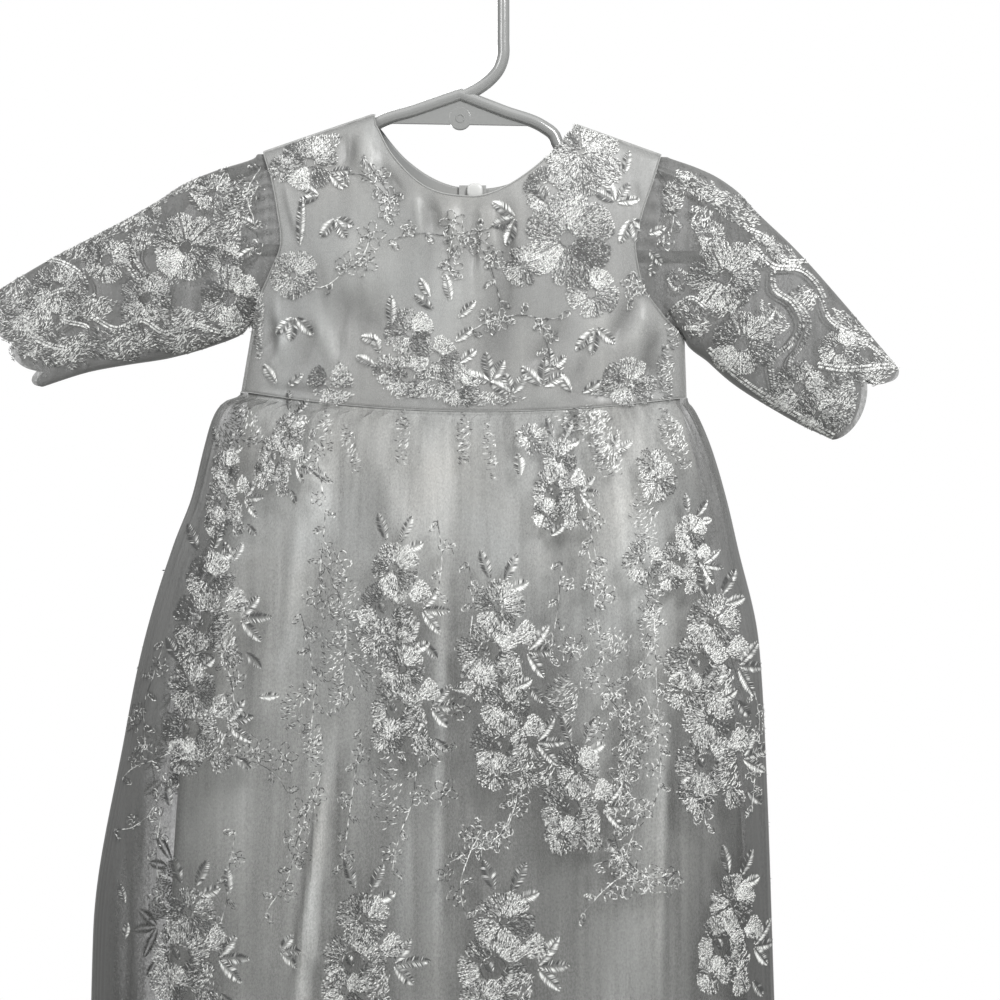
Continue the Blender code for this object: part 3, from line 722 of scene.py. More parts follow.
def bodiceGrid(levels, front, shift):
    rows = rowShares(bodice["rows"], int(bodice["rows"] * 0.74))
    points = bodicePoints(levels[None, :] + 0 * rows[:, None], rows[:, None] + 0 * levels[None, :], front, shift)
    normals = gridNormals(points, -1 if front else 1)
    if front:
        height = creased(points, bodice["creases"])
    else:
        mirrored = points * np.array((-1.0, 1.0, 1.0))
        height = 0.7 * creased(mirrored, bodice["creases"])
    height += wavy(points, 0.5, (42.0, 23.0, 13.0), 3 if front else 5)
    rowFade = np.minimum(1, np.minimum(rows, 2 - rows) * 7)[:, None]
    edgeFade = np.minimum(1, np.minimum(levels, 1 - levels) * 16)[None, :]
    if not front:
        edgeFade = edgeFade * np.minimum(1, np.abs(levels - 0.5) * 16)[None, :]
    return points, normals, height * rowFade * edgeFade


surfaces = {}
neckShare = 0.516 / 2
levelsAll = np.unique(
    np.concatenate(
        (
            np.linspace(0, 1, bodice["columns"]),
            (shoulderTip["left"][0] - neckPoint["left"][0]) / (shoulderTip["left"][0] - neckMiddle) / 2
            + np.array((-0.0004, 0.0004)),
            1 - (shoulderTip["right"][0] - neckPoint["right"][0]) / (shoulderTip["right"][0] - neckMiddle) / 2
            + np.array((-0.0004, 0.0004)),
        )
    )
)
bodicePanels = (
    ("Front", "bodice_front", levelsAll, True, 0.0),
    ("BackLeft", "bodice_back_left", levelsAll[levelsAll <= 0.4999], False, -halfGap),
    ("BackRight", "bodice_back_right", levelsAll[levelsAll >= 0.5001], False, halfGap),
)
for panel, node, levels, front, shift in bodicePanels:
    points, normals, height = bodiceGrid(levels, front, shift)
    satinPiece = clothPiece(
        "satin" + panel,
        points + normals * (bodice["satinOut"] + height)[..., None],
        normals,
        height,
        bodiceSatin,
        bodice["thickness"],
    )
    over = points + normals * (bodice["netOut"] + height)[..., None]
    netPiece = clothPiece("net" + panel, over, normals, height, bodiceNet)
    dress(satinPiece, [node])
    dress(netPiece, [node + "_net"])
    surfaces["bodice" + panel] = over
print("bodice ready")

# skirt: its folds as the solids have them, with finer gathers and listed creases
skirt = {
    "doubled": 1.0,
    "doubledFrom": 0.56,
    # how much darker the skirt's cloth is painted towards the hem: painted shade
    "paintedHemShade": 0.58,
    "netColumns": 300,
    "netRows": 120,
    "liningColumns": 124,
    "liningRows": 76,
    "netOut": 0.8,
    "liningOut": 1.1,
    "thickness": 0.9,
    "creases": (
        (-76.5, -498.9, -93.0, -625.4, 7.0, 4.0),
        (-66.0, -405.4, -91.9, -625.4, 6.0, 3.4),
        (-60.0, -421.9, -80.9, -625.4, 5.0, -4.0),
        (-6.6, -317.4, -7.2, -625.4, 3.5, -4.0),
        (-10.5, -317.4, -12.7, -625.4, 5.0, 3.0),
        (114.4, -394.4, 107.3, -625.4, 3.5, -4.0),
        (109.5, -405.4, 101.8, -625.4, 5.0, 3.4),
        (-113.9, -339.4, -119.4, -482.4, 8.0, -3.0),
        (-126.0, -300.9, -131.5, -438.4, 6.0, 2.4),
        (-41.2, -278.9, -31.9, -361.4, 7.0, 3.0),
        (-51.2, -284.4, -45.7, -350.4, 6.0, -2.6),
        (44.0, -273.4, 55.6, -383.4, 7.0, -3.0),
        (36.9, -278.9, 41.2, -383.4, 6.0, 2.4),
        (78.1, -284.4, 96.3, -405.4, 7.0, 3.0),
        (-90.8, -278.9, -68.8, -350.4, 7.0, 2.4),
        (-129.2, -278.9, -139.2, -355.9, 5.0, 2.6),
        (123.8, -273.4, 145.8, -350.4, 6.0, 2.6),
        (116.1, -278.9, 132.0, -383.4, 6.0, -2.6),
        (-148.5, -498.9, -162.2, -625.4, 7.0, -3.0),
        (52.3, -482.4, 44.0, -625.4, 9.0, -2.4),
        (145.8, -482.4, 152.4, -625.4, 7.0, -3.0),
        (22.0, -328.4, 24.8, -625.4, 34.0, -3.0),
        (-67.1, -427.4, -90.8, -625.4, 2.6, 3.6),
        (-63.3, -438.4, -84.2, -625.4, 2.6, -3.2),
        (-73.7, -438.4, -97.9, -625.4, 2.2, -4.6),
        (-6.1, -339.4, -6.6, -625.4, 2.2, -3.5),
        (115.0, -427.4, 108.4, -625.4, 2.2, -3.5),
        (-34.7, -300.9, -38.0, -460.4, 3.0, -2.4),
        (-93.0, -300.9, -102.9, -427.4, 3.5, -2.6),
        (30.3, -350.4, 38.0, -515.4, 3.0, 2.2),
        (85.2, -328.4, 90.8, -493.4, 3.0, -2.4),
        (55.6, -482.4, 57.8, -625.4, 3.2, -2.6),
        (-30.3, -460.4, -33.6, -625.4, 3.4, 2.6),
    ),
    "gathers": ((1.5, 46, 34.0), (0.9, 71, 22.0), (1.1, 31, 80.0), (0.30, 61, 700.0)),
}


def fineGathers(u, drop, front):
    height = np.zeros(u.shape)
    for amount, count, fade in skirt["gathers"]:
        shift = 0.0 if front else 0.4
        wander = u + 0.012 * np.sin(9 * u + 2 + shift) + 0.006 * np.sin(31 * u + count)
        wave = np.sin(2 * math.pi * count * wander)
        height += amount * wave * np.exp(-drop / fade) * np.minimum(1, drop / 4)
    return height * np.sin(math.pi * u) ** 0.5


hemDrop = {"net": 605.0, "lining": 590.0}
for front in (True, False):
    face = "Front" if front else "Back"
    for layer, table, folds, material, out in (
        ("net", netSkirt, netFolds, sheerNet, skirt["netOut"]),
        ("lining", liningSkirt, liningFolds, liningSatin, skirt["liningOut"]),
    ):
        u = np.linspace(0, 1, skirt[layer + "Columns"])
        v = np.linspace(0, 1, skirt[layer + "Rows"])
        drop = hemDrop[layer] * (0.75 * v**1.6 + 0.25 * v)
        u, drop = np.meshgrid(u, drop)
        points = skirtPoints(table, folds, u, drop, front)
        normals = gridNormals(points, -1 if front else 1)
        mirror = np.array((1.0 if front else -1.0, 1.0, 1.0))
        height = creased(points * mirror, skirt["creases"])
        height += wavy(points, 1.1, (58.0, 31.0, 17.0), 11 if front else 12)
        height *= np.minimum(1, drop / 60) * np.sin(math.pi * u) ** 0.5
        if layer == "net":
            height = 0.8 * height + fineGathers(u, drop, front)
        shell = points + normals * (out + height)[..., None]
        # towards the side seams the net hangs in folds that lie on each other
        t = np.clip((np.abs(2 * u - 1) - skirt["doubledFrom"]) / 0.22, 0, 1)
        doubled = np.where(points[..., 0] < 0, 1.0, 0.72) * skirt["doubled"] * t * t * (3 - 2 * t) * np.clip((drop - 10) / 60, 0, 1)
        # painted shade: the cloth is drawn darker further down, towards the hem
        paintedHemShade = skirt["paintedHemShade"] * np.clip((drop - 60) / 240, 0, 1)
        name = layer + "Skirt" + face
        thickness = skirt["thickness"] if layer == "lining" else None
        piece = clothPiece(name, shell, normals, height, material, thickness, doubled, paintedHemShade)
        node = "skirt_" + face.lower() + "_" + layer
        dress(piece, [node])
        if layer == "net":
            surfaces["skirt" + face] = shell
print("skirt ready")

sleeve = {"columns": 80, "rows": 96, "out": 0.75, "puff": 1.7}
sleeveCreases = {
    "left": (
        (-126.5, -146.9, -189.8, -160.6, 7.0, 1.6),
        (-123.8, -168.9, -184.3, -186.5, 6.0, -1.6),
        (-120.5, -196.4, -173.2, -207.4, 6.0, 1.4),
        (-145.8, -124.9, -195.3, -155.1, 5.0, -1.2),
    ),
    "right": (
        (110.0, -124.9, 162.2, -170.0, 5.0, 1.8),
        (107.3, -137.0, 151.2, -185.4, 6.0, -1.8),
        (104.5, -171.6, 148.5, -179.9, 5.0, 1.4),
        (112.8, -190.9, 162.2, -232.1, 7.0, -1.4),
        (162.2, -179.9, 211.8, -234.9, 8.0, 1.2),
    ),
}
for side in ("left", "right"):
    halves = []
    for front in (True, False):
        s = np.linspace(0, 1, sleeve["columns"])
        s = s * s * (3 - 2 * s) * 0.35 + 0.65 * s
        along = np.linspace(0, 1, sleeve["rows"])
        points = sleevePoints(side, along, s, front)
        normals = gridNormals(points, -1 if front else 1)
        height = creased(points, sleeveCreases[side]) + wavy(points, 0.25, (31.0, 17.0), 21)
        count = 17 if side == "left" else 12
        heads = np.exp(-(along[:, None] * 130) / 15) * np.minimum(1, along[:, None] * 40)
        where = np.clip(1.25 - 1.9 * s[None, :], 0, 1)
        pucker = sleeve["puff"] * np.sin(2 * math.pi * count * s[None, :] + 2 * np.sin(9 * s[None, :]))
        fade = np.sin(math.pi * s)[None, :] ** 0.4
        height = (height * np.minimum(1, along[:, None] * 8) + heads * where * pucker) * fade
        shell = points + normals * (sleeve["out"] + height)[..., None]
        surfaces["sleeve" + side.capitalize() + ("Front" if front else "Back")] = shell
        halves.append((shell, normals, height))
    # one tube: the front half from top to foot, then the back half up again
    ring = np.concatenate((halves[0][0], halves[1][0][:, -2:0:-1]), axis=1)
    edgeTop = (halves[0][0][:, :1] + halves[1][0][:, :1]) / 2
    edgeFoot = (halves[0][0][:, -1:] + halves[1][0][:, -1:]) / 2
    ring[:, :1] = edgeTop
    ring[:, sleeve["columns"] - 1 : sleeve["columns"]] = edgeFoot
    ringNormals = np.concatenate((halves[0][1], halves[1][1][:, -2:0:-1]), axis=1)
    dense = np.clip(1 / np.maximum(np.abs(ringNormals[..., 1]), 0.25) - 1, 0, 1.6)
    ringHeight = np.concatenate((halves[0][2], halves[1][2][:, -2:0:-1]), axis=1)
    # the fold attribute is painted shade, darker in the troughs of the sleeve's creases and puckers
    extra = {"dense": dense, "fold": np.clip(0.62 + ringHeight / 5.5, 0, 1)}
    faces = gridFaces(*ring.shape[:2], closed=True)
    if side == "right":
        faces = faces[:, ::-1]
    piece = meshOf("sleeve" + side.capitalize(), ring.reshape(-1, 3), faces, sleeveNet, extra=extra)
    dress(piece, ["sleeve_" + side])
print("sleeves ready")

# embroidery: every stitch is a small roof of thread, x0, z0, x1, z1, width, tone, where tone is the stitch's painted
# light and shade
stitch = {
    "pitch": 0.54,
    "ridge": 0.72,
    "reach": 1.25,
    "width": 0.66,
    "lift": 0.26,
    # glow is a painted sheen that follows each stitch's direction; spread gives painted glints and shadows at random
    "paintedSheen": 0.30,
    "spread": 0.33,
    "apart": 0.34,
}


def paintStitchLight(rows, shadeShift=0.0):
    # painted light on each stitch: a painted sheen by the stitch's direction, painted glints and shadows at random, and
    # each motif's painted shade shift
    run = np.arctan2(rows[:, 3] - rows[:, 1], rows[:, 2] - rows[:, 0])
    paintedSheen = stitch["paintedSheen"] * np.cos(2 * (run - 0.9))
    rows[:, 5] = 0.37 + shadeShift + paintedSheen + stitch["spread"] * rng.standard_normal(len(rows))
    return rows


def stitchRows(x0, z0, x1, z1, width, shadeShift=0.0):
    rows = np.zeros((len(x0), 6))
    for i, values in enumerate((x0, z0, x1, z1, width)):
        rows[:, i] = values
    return paintStitchLight(rows, shadeShift)


def moved(rows, x, z, turn=0.0, size=1.0, squeeze=1.0):
    c, s = math.cos(turn), math.sin(turn)
    out = rows.copy()
    for i in (0, 2):
        px, pz = rows[:, i] * size, rows[:, i + 1] * size
        out[:, i] = x + (px * c - pz * s) * squeeze
        out[:, i + 1] = z + px * s + pz * c
    return out


def lobe(share):
    # half width of a petal along its length, for a length of 1
    return 0.62 * np.clip(share, 0, 1) ** 0.8 * np.sqrt(np.maximum(0, 1 - np.clip(share, 0, 1) ** 5))


def petal(radius, middle, inner, shadeShift, wide=1.0):
    # ridges of stitches that fan out from the base to a round, slightly notched tip
    ridges = max(5, int(1.24 * wide * radius / stitch["ridge"]))
    spread = (np.arange(ridges) + 0.5) / ridges * 2 - 1
    # each ridge of stitches gets its own painted shade, lighter or darker at random
    ridgeShade = rng.normal(0, 0.13, ridges)
    step = 0.9 * stitch["reach"]
    found = []
    for r in np.arange(inner, 1.05 * radius, step):
        fan = 0.4 + 0.6 * r / radius
        b = 0.62 * wide * radius * spread * fan + rng.normal(0, 0.05, ridges)
        long = stitch["reach"] * rng.uniform(0.85, 1.2, ridges)
        a = r + rng.uniform(-0.22, 0.22, ridges) + 0.5 * step * (np.arange(ridges) % 2) - 0.10 * b * b / radius
        notch = 1 + 0.04 * np.sin(b * 1.9 + middle * 7)
        keep = (np.abs(b) < wide * radius * lobe((a + 0.5 * long) / radius) * notch) & (a > 0.5 * inner)
        lean = np.arctan(0.5 * wide * spread) + rng.normal(0, 0.10, ridges)
        rows = stitchRows(
            a[keep],
            b[keep],
            (a + long * np.cos(lean))[keep],
            (b + long * np.sin(lean))[keep],
            (stitch["width"] * rng.uniform(0.9, 1.2, ridges))[keep],
        )
        found.append(np.column_stack((rows, ridgeShade[keep])))
    rows = np.concatenate(found)
    rows = np.column_stack((moved(rows[:, :6], 0, 0, middle), rows[:, 6]))
    own = rows[:, 6].copy()
    rows = paintStitchLight(rows[:, :6], shadeShift)
    rows[:, 5] += own
    return rows


def blossom(radius, petals=5, heart=0.16):
    # each petal tucks under the ones before it, with a thin gap between
    parts = []
    turn = rng.uniform(0, 2 * math.pi)
    laidDown = []
    wide = min(1.25, 5.4 / petals)
    for i in range(petals):
        middle = turn + 2 * math.pi * (i + rng.uniform(-0.1, 0.1)) / petals
        size = radius * rng.uniform(0.86, 1.06)
        # each petal is painted lighter or darker as a whole: painted shade
        rows = petal(size, middle, heart * radius + 0.9, rng.uniform(-0.26, 0.17), wide)
        x, z = (rows[:, 0] + rows[:, 2]) / 2, (rows[:, 1] + rows[:, 3]) / 2
        keep = np.ones(len(rows), bool)
        for other, otherSize in laidDown:
            a = x * math.cos(other) + z * math.sin(other)
            b = z * math.cos(other) - x * math.sin(other)
            keep &= np.abs(b) > wide * otherSize * lobe(a / otherSize) + 0.55
        parts.append(rows[keep])
        laidDown.append((middle, size))
    seeds = ring(heart * radius + 0.4, heart * radius + 0.4, 1.2)
    # painted shade: the ring of stitches round the heart is drawn darker
    seeds[:, 5] -= 0.2
    parts.append(seeds)
    if heart > 0.25:
        parts.append(moved(leaf(1.1 * heart * radius, 0.8 * heart * radius, -0.35), 0, -0.4 * heart * radius, 0.5))
    return np.concatenate(parts)


def ring(halfWidth, halfHeight, step=1.5):
    count = max(5, int(math.pi * (halfWidth + halfHeight) / step))
    turn = np.arange(count) * 2 * math.pi / count + rng.uniform(0, 1)
    x, z = halfWidth * np.cos(turn), halfHeight * np.sin(turn)
    lean = np.arctan2(halfHeight * np.cos(turn), -halfWidth * np.sin(turn)) + rng.normal(0, 0.5, count)
    half = 0.62 * step * rng.uniform(0.9, 1.5, count)
    dx, dz = half * np.cos(lean), half * np.sin(lean)
    # ring stitches drawn a little darker: painted shade
    return stitchRows(x - dx, z - dz, x + dx, z + dz, stitch["width"], -0.06)


def leaf(length, width, shadeShift=0.0):
    # satin stitch on both sides of a midrib that runs up from the origin
    count = max(4, int(length / 0.58))
    t = (np.arange(count) + 0.5) / count
    reach = 0.5 * width * np.sin(math.pi * t**0.8) ** 0.75
    parts = []
    for side in (-1, 1):
        x1 = side * (reach + 0.3) * rng.uniform(0.9, 1.1, count)
        z0 = t * length + 0.06 * length
        z1 = z0 + 0.55 * (reach + 0.3)
        parts.append(stitchRows(np.full(count, 0.12 * side), z0, x1, z1, stitch["width"], shadeShift))
    return np.concatenate(parts)


def sprig(size):
    # a small open flower of outlined petals
    parts = []
    turn = rng.uniform(0, 2 * math.pi)
    for i in range(5):
        loop = moved(ring(0.30 * size, 0.20 * size, 1.35), 0.44 * size, 0)
        parts.append(moved(loop, 0, 0, turn + i * 1.257))
    parts.append(ring(0.12 * size, 0.12 * size, 1.0))
    return np.concatenate(parts)


def smoothLine(points, step):
    points = np.asarray(points, float)
    keys = np.concatenate(((0,), np.cumsum(np.linalg.norm(np.diff(points, axis=0), axis=1))))
    fine = np.linspace(0, keys[-1], max(4, int(keys[-1] / step)))
    spots = np.empty((len(fine), points.shape[1]))
    slopes = np.gradient(points, keys, axis=0)
    i = np.clip(np.searchsorted(keys, fine, side="right") - 1, 0, len(keys) - 2)
    span = (keys[i + 1] - keys[i])[:, None]
    t = (fine[:, None] - keys[i][:, None]) / span
    a, b = points[i], points[i + 1]
    spots = (
        (1 + 2 * t) * (1 - t) ** 2 * a
        + t * (1 - t) ** 2 * span * slopes[i]
        + t * t * (3 - 2 * t) * b
        + t * t * (t - 1) * span * slopes[i + 1]
    )
    return spots


def stem(points, step=2.2):
    line = smoothLine(points, step)
    shake = rng.normal(0, 0.12, line.shape)
    line = line + shake
    past = 0.35 * (line[1:] - line[:-1])
    a, b = line[:-1] - past, line[1:] + past
    # stem stitches drawn darker: painted shade
    return stitchRows(a[:, 0], a[:, 1], b[:, 0], b[:, 1], 1.0 * stitch["width"], -0.12)


def cord(points, width, shadeShift=-0.05):
    # buttonhole stitches laid across a line
    line = smoothLine(points, 0.8 * stitch["pitch"])
    run = np.gradient(line, axis=0)
    run /= np.linalg.norm(run, axis=1, keepdims=True)
    across = np.stack((-run[:, 1], run[:, 0]), axis=1)
    parts = []
    for side in (-1, 1):
        half = 0.26 * width * rng.uniform(0.7, 1.3, len(line))[:, None]
        middle = line + across * (0.30 * width * side)
        lean = across + run * rng.uniform(0.1, 0.7, len(line))[:, None]
        a, b = middle - lean * half, middle + lean * half
        parts.append(stitchRows(a[:, 0], a[:, 1], b[:, 0], b[:, 1], stitch["width"], shadeShift))
    return np.concatenate(parts)


def trail(points, gap=8.0, size=6.0):
    # a thin stem with outlined leaves and small flowers on both sides
    parts = [stem(points)]
    line = smoothLine(points, gap)
    run = np.gradient(line, axis=0)
    for i, (spot, way) in enumerate(zip(line, run)):
        turn = math.atan2(way[1], way[0]) + (0.9 if i % 2 else -0.9) + rng.normal(0, 0.25)
        out = 0.62 * size
        x, z = spot[0] + out * math.cos(turn), spot[1] + out * math.sin(turn)
        if i % 3 == 1:
            parts.append(moved(sprig(size * rng.uniform(0.9, 1.25)), x, z))
        else:
            loop = ring(0.52 * size, 0.24 * size, 1.35)
            parts.append(moved(loop, x, z, turn))
            parts.append(moved(ring(0.25 * size, 0.07 * size, 1.5), x, z, turn))
    return np.concatenate(parts)


def dust(halfWidth, halfHeight, turn, amount, flow=0.0):
    # a field of short stitches that follows one soft direction
    count = int(math.pi * halfWidth * halfHeight * amount / (stitch["pitch"] * 2.0))
    r, a = np.sqrt(rng.uniform(0, 1, count)), rng.uniform(0, 2 * math.pi, count)
    ragged = 1 + 0.10 * np.sin(5 * a + turn) + 0.07 * np.sin(11 * a)
    x, z = r * halfWidth * np.cos(a) * ragged, r * halfHeight * np.sin(a) * ragged
    lean = flow + 0.6 * np.sin(x / 4.5 + turn) + 0.5 * np.cos(z / 3.8) + rng.normal(0, 0.35, count)
    half = rng.uniform(0.7, 1.4, count)
    dx, dz = half * np.cos(lean), half * np.sin(lean)
    rows = stitchRows(x - dx, z - dz, x + dx, z + dz, 0.9 * stitch["width"], 0.02)
    return moved(rows, 0, 0, turn)


def spray(leaves, length, width, x, z, turn):
    # leaves fanned out from one point
    parts = []
    for i in range(leaves):
        lean = turn + (i - (leaves - 1) / 2) * 0.85 + rng.normal(0, 0.08)
        # every other leaf painted lighter, the rest painted darker: painted light and shade
        shadeShift = 0.14 if i % 2 == 0 else -0.16
        parts.append(moved(leaf(length * rng.uniform(0.85, 1.1), width, shadeShift), x, z, lean))
    return np.concatenate(parts)


def cluster(x, z, size=1.0, squeeze=1.0, lean=0.0, fine=1.0):
    # the skirt's repeat: leaves above, two blossoms, a spray to the right, a ragged flower below,
    # and leaves over the flowers; drawn smaller and then let out where coarser thread will do
    s = 1 / fine
    parts = [
        moved(leaf(15 * s, 6 * s, -0.25), -6 * s, 33 * s, 0.35),
        moved(leaf(15 * s, 6 * s, -0.15), 1 * s, 32 * s, -0.45),
        moved(leaf(11 * s, 6 * s, 0.30), 3 * s, 28 * s, -1.2),
        moved(blossom(14.0 * s, 5, 0.12), -2 * s, 19 * s),
        moved(blossom(16.5 * s, 5, 0.32), -7 * s, -3 * s),
        moved(petal(14 * s, 0.5, 2.5 * s, 0.05), 5 * s, 2 * s),
        moved(blossom(11.0 * s, 5, 0.15), -12 * s, -17 * s),
        moved(dust(7 * s, 11 * s, 0.2, 0.9), 4 * s, -12 * s),
        spray(3, 16 * s, 5.8 * s, 13 * s, -3 * s, -1.55),
        moved(petal(13 * s, -1.2, 2.5 * s, 0.0), 4 * s, -15 * s),
        moved(leaf(11 * s, 5.5 * s, -0.3), 14 * s, -20 * s, -2.4),
        moved(leaf(13 * s, 6.0 * s, -0.40), 4 * s, 5 * s, 0.9),
        moved(leaf(12 * s, 6.0 * s, -0.32), -4 * s, -14 * s, -0.4),
        moved(leaf(9 * s, 4.6 * s, 0.10), -13 * s, -7 * s, 2.2),
    ]
    rows = np.concatenate(parts)
    rows[:, 4] *= fine
    return moved(rows, x, z, lean, size * fine, squeeze)


def thinned(rows, apart):
    # where motifs overlap, only the last stitch laid on a spot is kept
    middle = np.round((rows[:, 0:2] + rows[:, 2:4]) / 2 / apart).astype(int)
    kept = np.unique(middle[::-1], axis=0, return_index=True)[1]
    return rows[np.sort(len(rows) - 1 - kept)]


def laid(name, rows, surface, squash, limit, outwardY, steepest=0.35, thin=0.85):
    # puts stitches, worked out in the front view, on a cloth's own surface
    rows = thinned(rows, stitch["apart"] * thin)
    spots = surface.reshape(-1, 3)
    normals = gridNormals(surface, outwardY).reshape(-1, 3)
    tree = kdtree.KDTree(len(spots))
    for i, spot in enumerate(spots):
        tree.insert((spot[0], 0.0, spot[2] * squash), i)
    tree.balance()
    middle = (rows[:, 0:2] + rows[:, 2:4]) / 2
    near = [tree.find((x, 0.0, z * squash))[1:] for x, z in middle]
    index = np.array([n[0] for n in near])
    away = np.array([n[1] for n in near])
    keep = (away < limit) & (np.abs(normals[index, 1]) > steepest)
    rows, index = rows[keep], index[keep]
    spot, normal = spots[index], normals[index]
    depthWay = np.where(np.abs(normal[:, 1]) < 0.22, 0.22 * outwardY, normal[:, 1])
    run = rows[:, 2:4] - rows[:, 0:2]
    across = np.stack((-run[:, 1], run[:, 0]), axis=1)
    across /= np.maximum(np.linalg.norm(across, axis=1, keepdims=True), 1e-6)
    across *= rows[:, 4:5] / 2
    corners = []
    for share, sideways, up in ((0.0, 0, 0.75), (0.45, -1, 0.0), (1.0, 0, 0.75), (0.55, 1, 0.0)):
        flatSpot = rows[:, 0:2] + run * share + across * sideways
        dx, dz = flatSpot[:, 0] - spot[:, 0], flatSpot[:, 1] - spot[:, 2]
        y = spot[:, 1] - np.clip((normal[:, 0] * dx + normal[:, 2] * dz) / depthWay, -4, 4)
        place = np.stack((flatSpot[:, 0], y, flatSpot[:, 1]), axis=1)
        corners.append(place + normal * (0.06 + up * stitch["lift"] / 0.75))
    vertices = np.stack(corners, axis=1)
    count = len(rows)
    base = np.arange(count)[:, None] * 4
    faces = np.concatenate((base + np.array((0, 1, 2)), base + np.array((0, 2, 3))))
    if outwardY > 0:
        faces = faces[:, ::-1]
    # each stitch's painted light and shade goes to the thread's colour
    stitchShades = np.repeat(np.clip(rows[:, 5], 0, 1), 4)
    piece = meshOf(name, vertices.reshape(-1, 3), faces, threadShade.material, extra={"tone": stitchShades})
    dress(piece)
    print(name, count, "stitches")
    return piece


bodiceWork = {
    # x, z, radius, petals, heart
    "blossoms": (
        (63.8, -128.2, 24.0, 7, 0.08),
        (45.7, -150.7, 15.0, 5, 0.36),
        (55.6, -176.0, 27.0, 6, 0.14),
        (68.8, -205.2, 15.5, 5, 0.16),
        (31.4, -190.9, 11.5, 4, 0.1),
        (-84.2, -133.7, 16.0, 5, 0.14),
        (-99.6, -136.4, 8.0, 5, 0.2),
        (-93.0, -195.3, 13.5, 5, 0.12),
        (-29.7, -227.2, 13.5, 5, 0.12),
        (-16.0, -240.4, 13.0, 5, 0.2),
        (-30.8, -250.3, 12.0, 5, 0.3),
        (-3.3, -255.8, 12.5, 5, 0.16),
        (-73.7, -254.7, 13.5, 3, 0.1),
        (89.1, -254.1, 14.5, 4, 0.1),
        (-41.2, -247.0, 9.0, 5, 0.2),
    ),
    # x, z, length, width, turn from upright to the left, tone as a painted shade shift
    "leaves": (
        (44.0, -156.2, 11.7, 6.7, 0.6, -0.35),
        (86.9, -140.2, 13.0, 5.0, -0.2, 0.0),
        (84.2, -139.2, 11.7, 5.0, 0.7, 0.1),
        (-89.7, -181.0, 28.0, 5.0, -0.05, 0.0),
        (-18.2, -208.5, 11.7, 5.0, 0.5, 0.3),
        (-16.0, -215.1, 13.0, 5.0, 0.9, -0.15),
        (-7.2, -210.7, 14.3, 5.6, 0.2, 0.2),
        (-3.9, -219.5, 13.0, 5.0, -0.8, 0.1),
        (-39.6, -223.9, 16.2, 6.2, 0.0, 0.05),
        (-44.0, -232.1, 11.7, 6.2, 1.3, 0.15),
        (-45.7, -238.7, 11.1, 5.0, 0.3, 0.0),
        (-47.9, -244.8, 11.1, 5.6, 1.1, 0.2),
        (-5.5, -232.1, 11.7, 5.6, -0.9, 0.1),
        (-3.3, -243.7, 11.7, 5.6, -0.9, 0.25),
        (-101.8, -254.7, 13.0, 5.6, 0.6, 0.25),
        (-96.3, -255.8, 10.4, 5.0, -0.9, 0.1),
        (58.3, -259.6, 11.7, 5.6, 0.6, 0.2),
        (63.3, -259.6, 11.7, 5.0, -1.0, 0.0),
    ),
    # leaves, length, width, x, z, turn
    "sprays": (
        (3, 15.6, 6.7, 28.1, -164.5, 1.9),
        (4, 12.3, 5.6, 82.0, -155.7, -0.2),
        (3, 14.3, 6.2, 90.2, -164.5, -2.8),
        (3, 11.7, 6.2, -69.9, -164.5, 3.5),
        (2, 11.1, 5.0, -78.7, -152.4, 1.4),
        (2, 11.7, 5.6, -73.7, -139.2, -2.0),
        (3, 14.3, 6.2, 71.0, -223.9, 3.14),
        (3, 14.3, 6.2, -92.4, -217.3, 3.1),
        (3, 14.3, 6.7, 14.3, -253.6, 0.3),
        (3, 13.0, 6.2, 25.9, -260.2, 0.2),
        (3, 14.3, 6.7, 42.4, -256.3, -0.1),
        (2, 11.7, 5.6, 45.7, -247.0, -0.5),
    ),
    # x, z, half width, half height, turn, amount
    "dusts": (
        (52.3, -160.6, 13.0, 9.0, 0.3, 0.9),
        (74.2, -135.9, 13.0, 8.0, -0.9, 0.9),
        (-24.8, -258.0, 17.0, 5.0, 0.0, 1.0),
        (8.2, -262.9, 22.0, 3.6, 0.0, 1.1),
        (-71.5, -260.2, 12.0, 3.0, -0.1, 1.0),
        (80.9, -258.0, 12.0, 3.2, 0.2, 1.0),
        (-78.7, -123.8, 13.0, 5.0, 0.35, 0.9),
        (109.5, -248.6, 4.5, 15.0, 0.0, 0.9),
        (113.9, -223.9, 4.0, 12.0, 0.0, 0.8),
        (-112.8, -223.9, 3.0, 18.0, 0.0, 0.8),
        (-113.9, -207.4, 4.0, 12.0, 0.2, 0.7),
    ),
    "trails": (
        (-40.7, -177.1, -31.4, -174.4, -19.2, -173.2, -7.2, -174.9, 5.5, -173.2, 18.2, -168.9),
        (-5.5, -174.4, -8.2, -183.2, -7.2, -194.2),
        (6.1, -176.6, 12.1, -186.5, 17.1, -200.8, 19.2, -211.8, 18.2, -221.7),
        (2.8, -226.1, 16.5, -219.5, 30.3, -217.3, 44.0, -219.5, 51.2, -218.9),
        (-64.4, -140.2, -55.0, -141.4, -46.8, -148.0, -40.2, -155.1),
        (-54.5, -130.4, -50.1, -138.6, -41.2, -151.2, -43.5, -163.4),
        (-50.6, -173.2, -55.6, -186.5, -66.0, -194.2, -74.2, -200.8, -83.1, -201.9),
        (91.9, -194.2, 96.3, -203.0, 90.8, -207.4),
        (41.8, -219.5, 44.6, -232.1, 46.8, -243.7),
    ),
    "sprigs": (
        (-50.6, -174.4, 11.0), (-54.5, -188.7, 11.0), (-40.2, -154.6, 10.0), (-41.2, -161.2, 8.0),
        (-6.1, -167.8, 10.0), (-7.2, -192.5, 9.0), (7.2, -177.7, 10.0), (14.9, -186.5, 9.0),
        (19.8, -219.5, 8.0), (91.9, -200.8, 10.0), (-63.3, -189.8, 9.0),
    ),
}


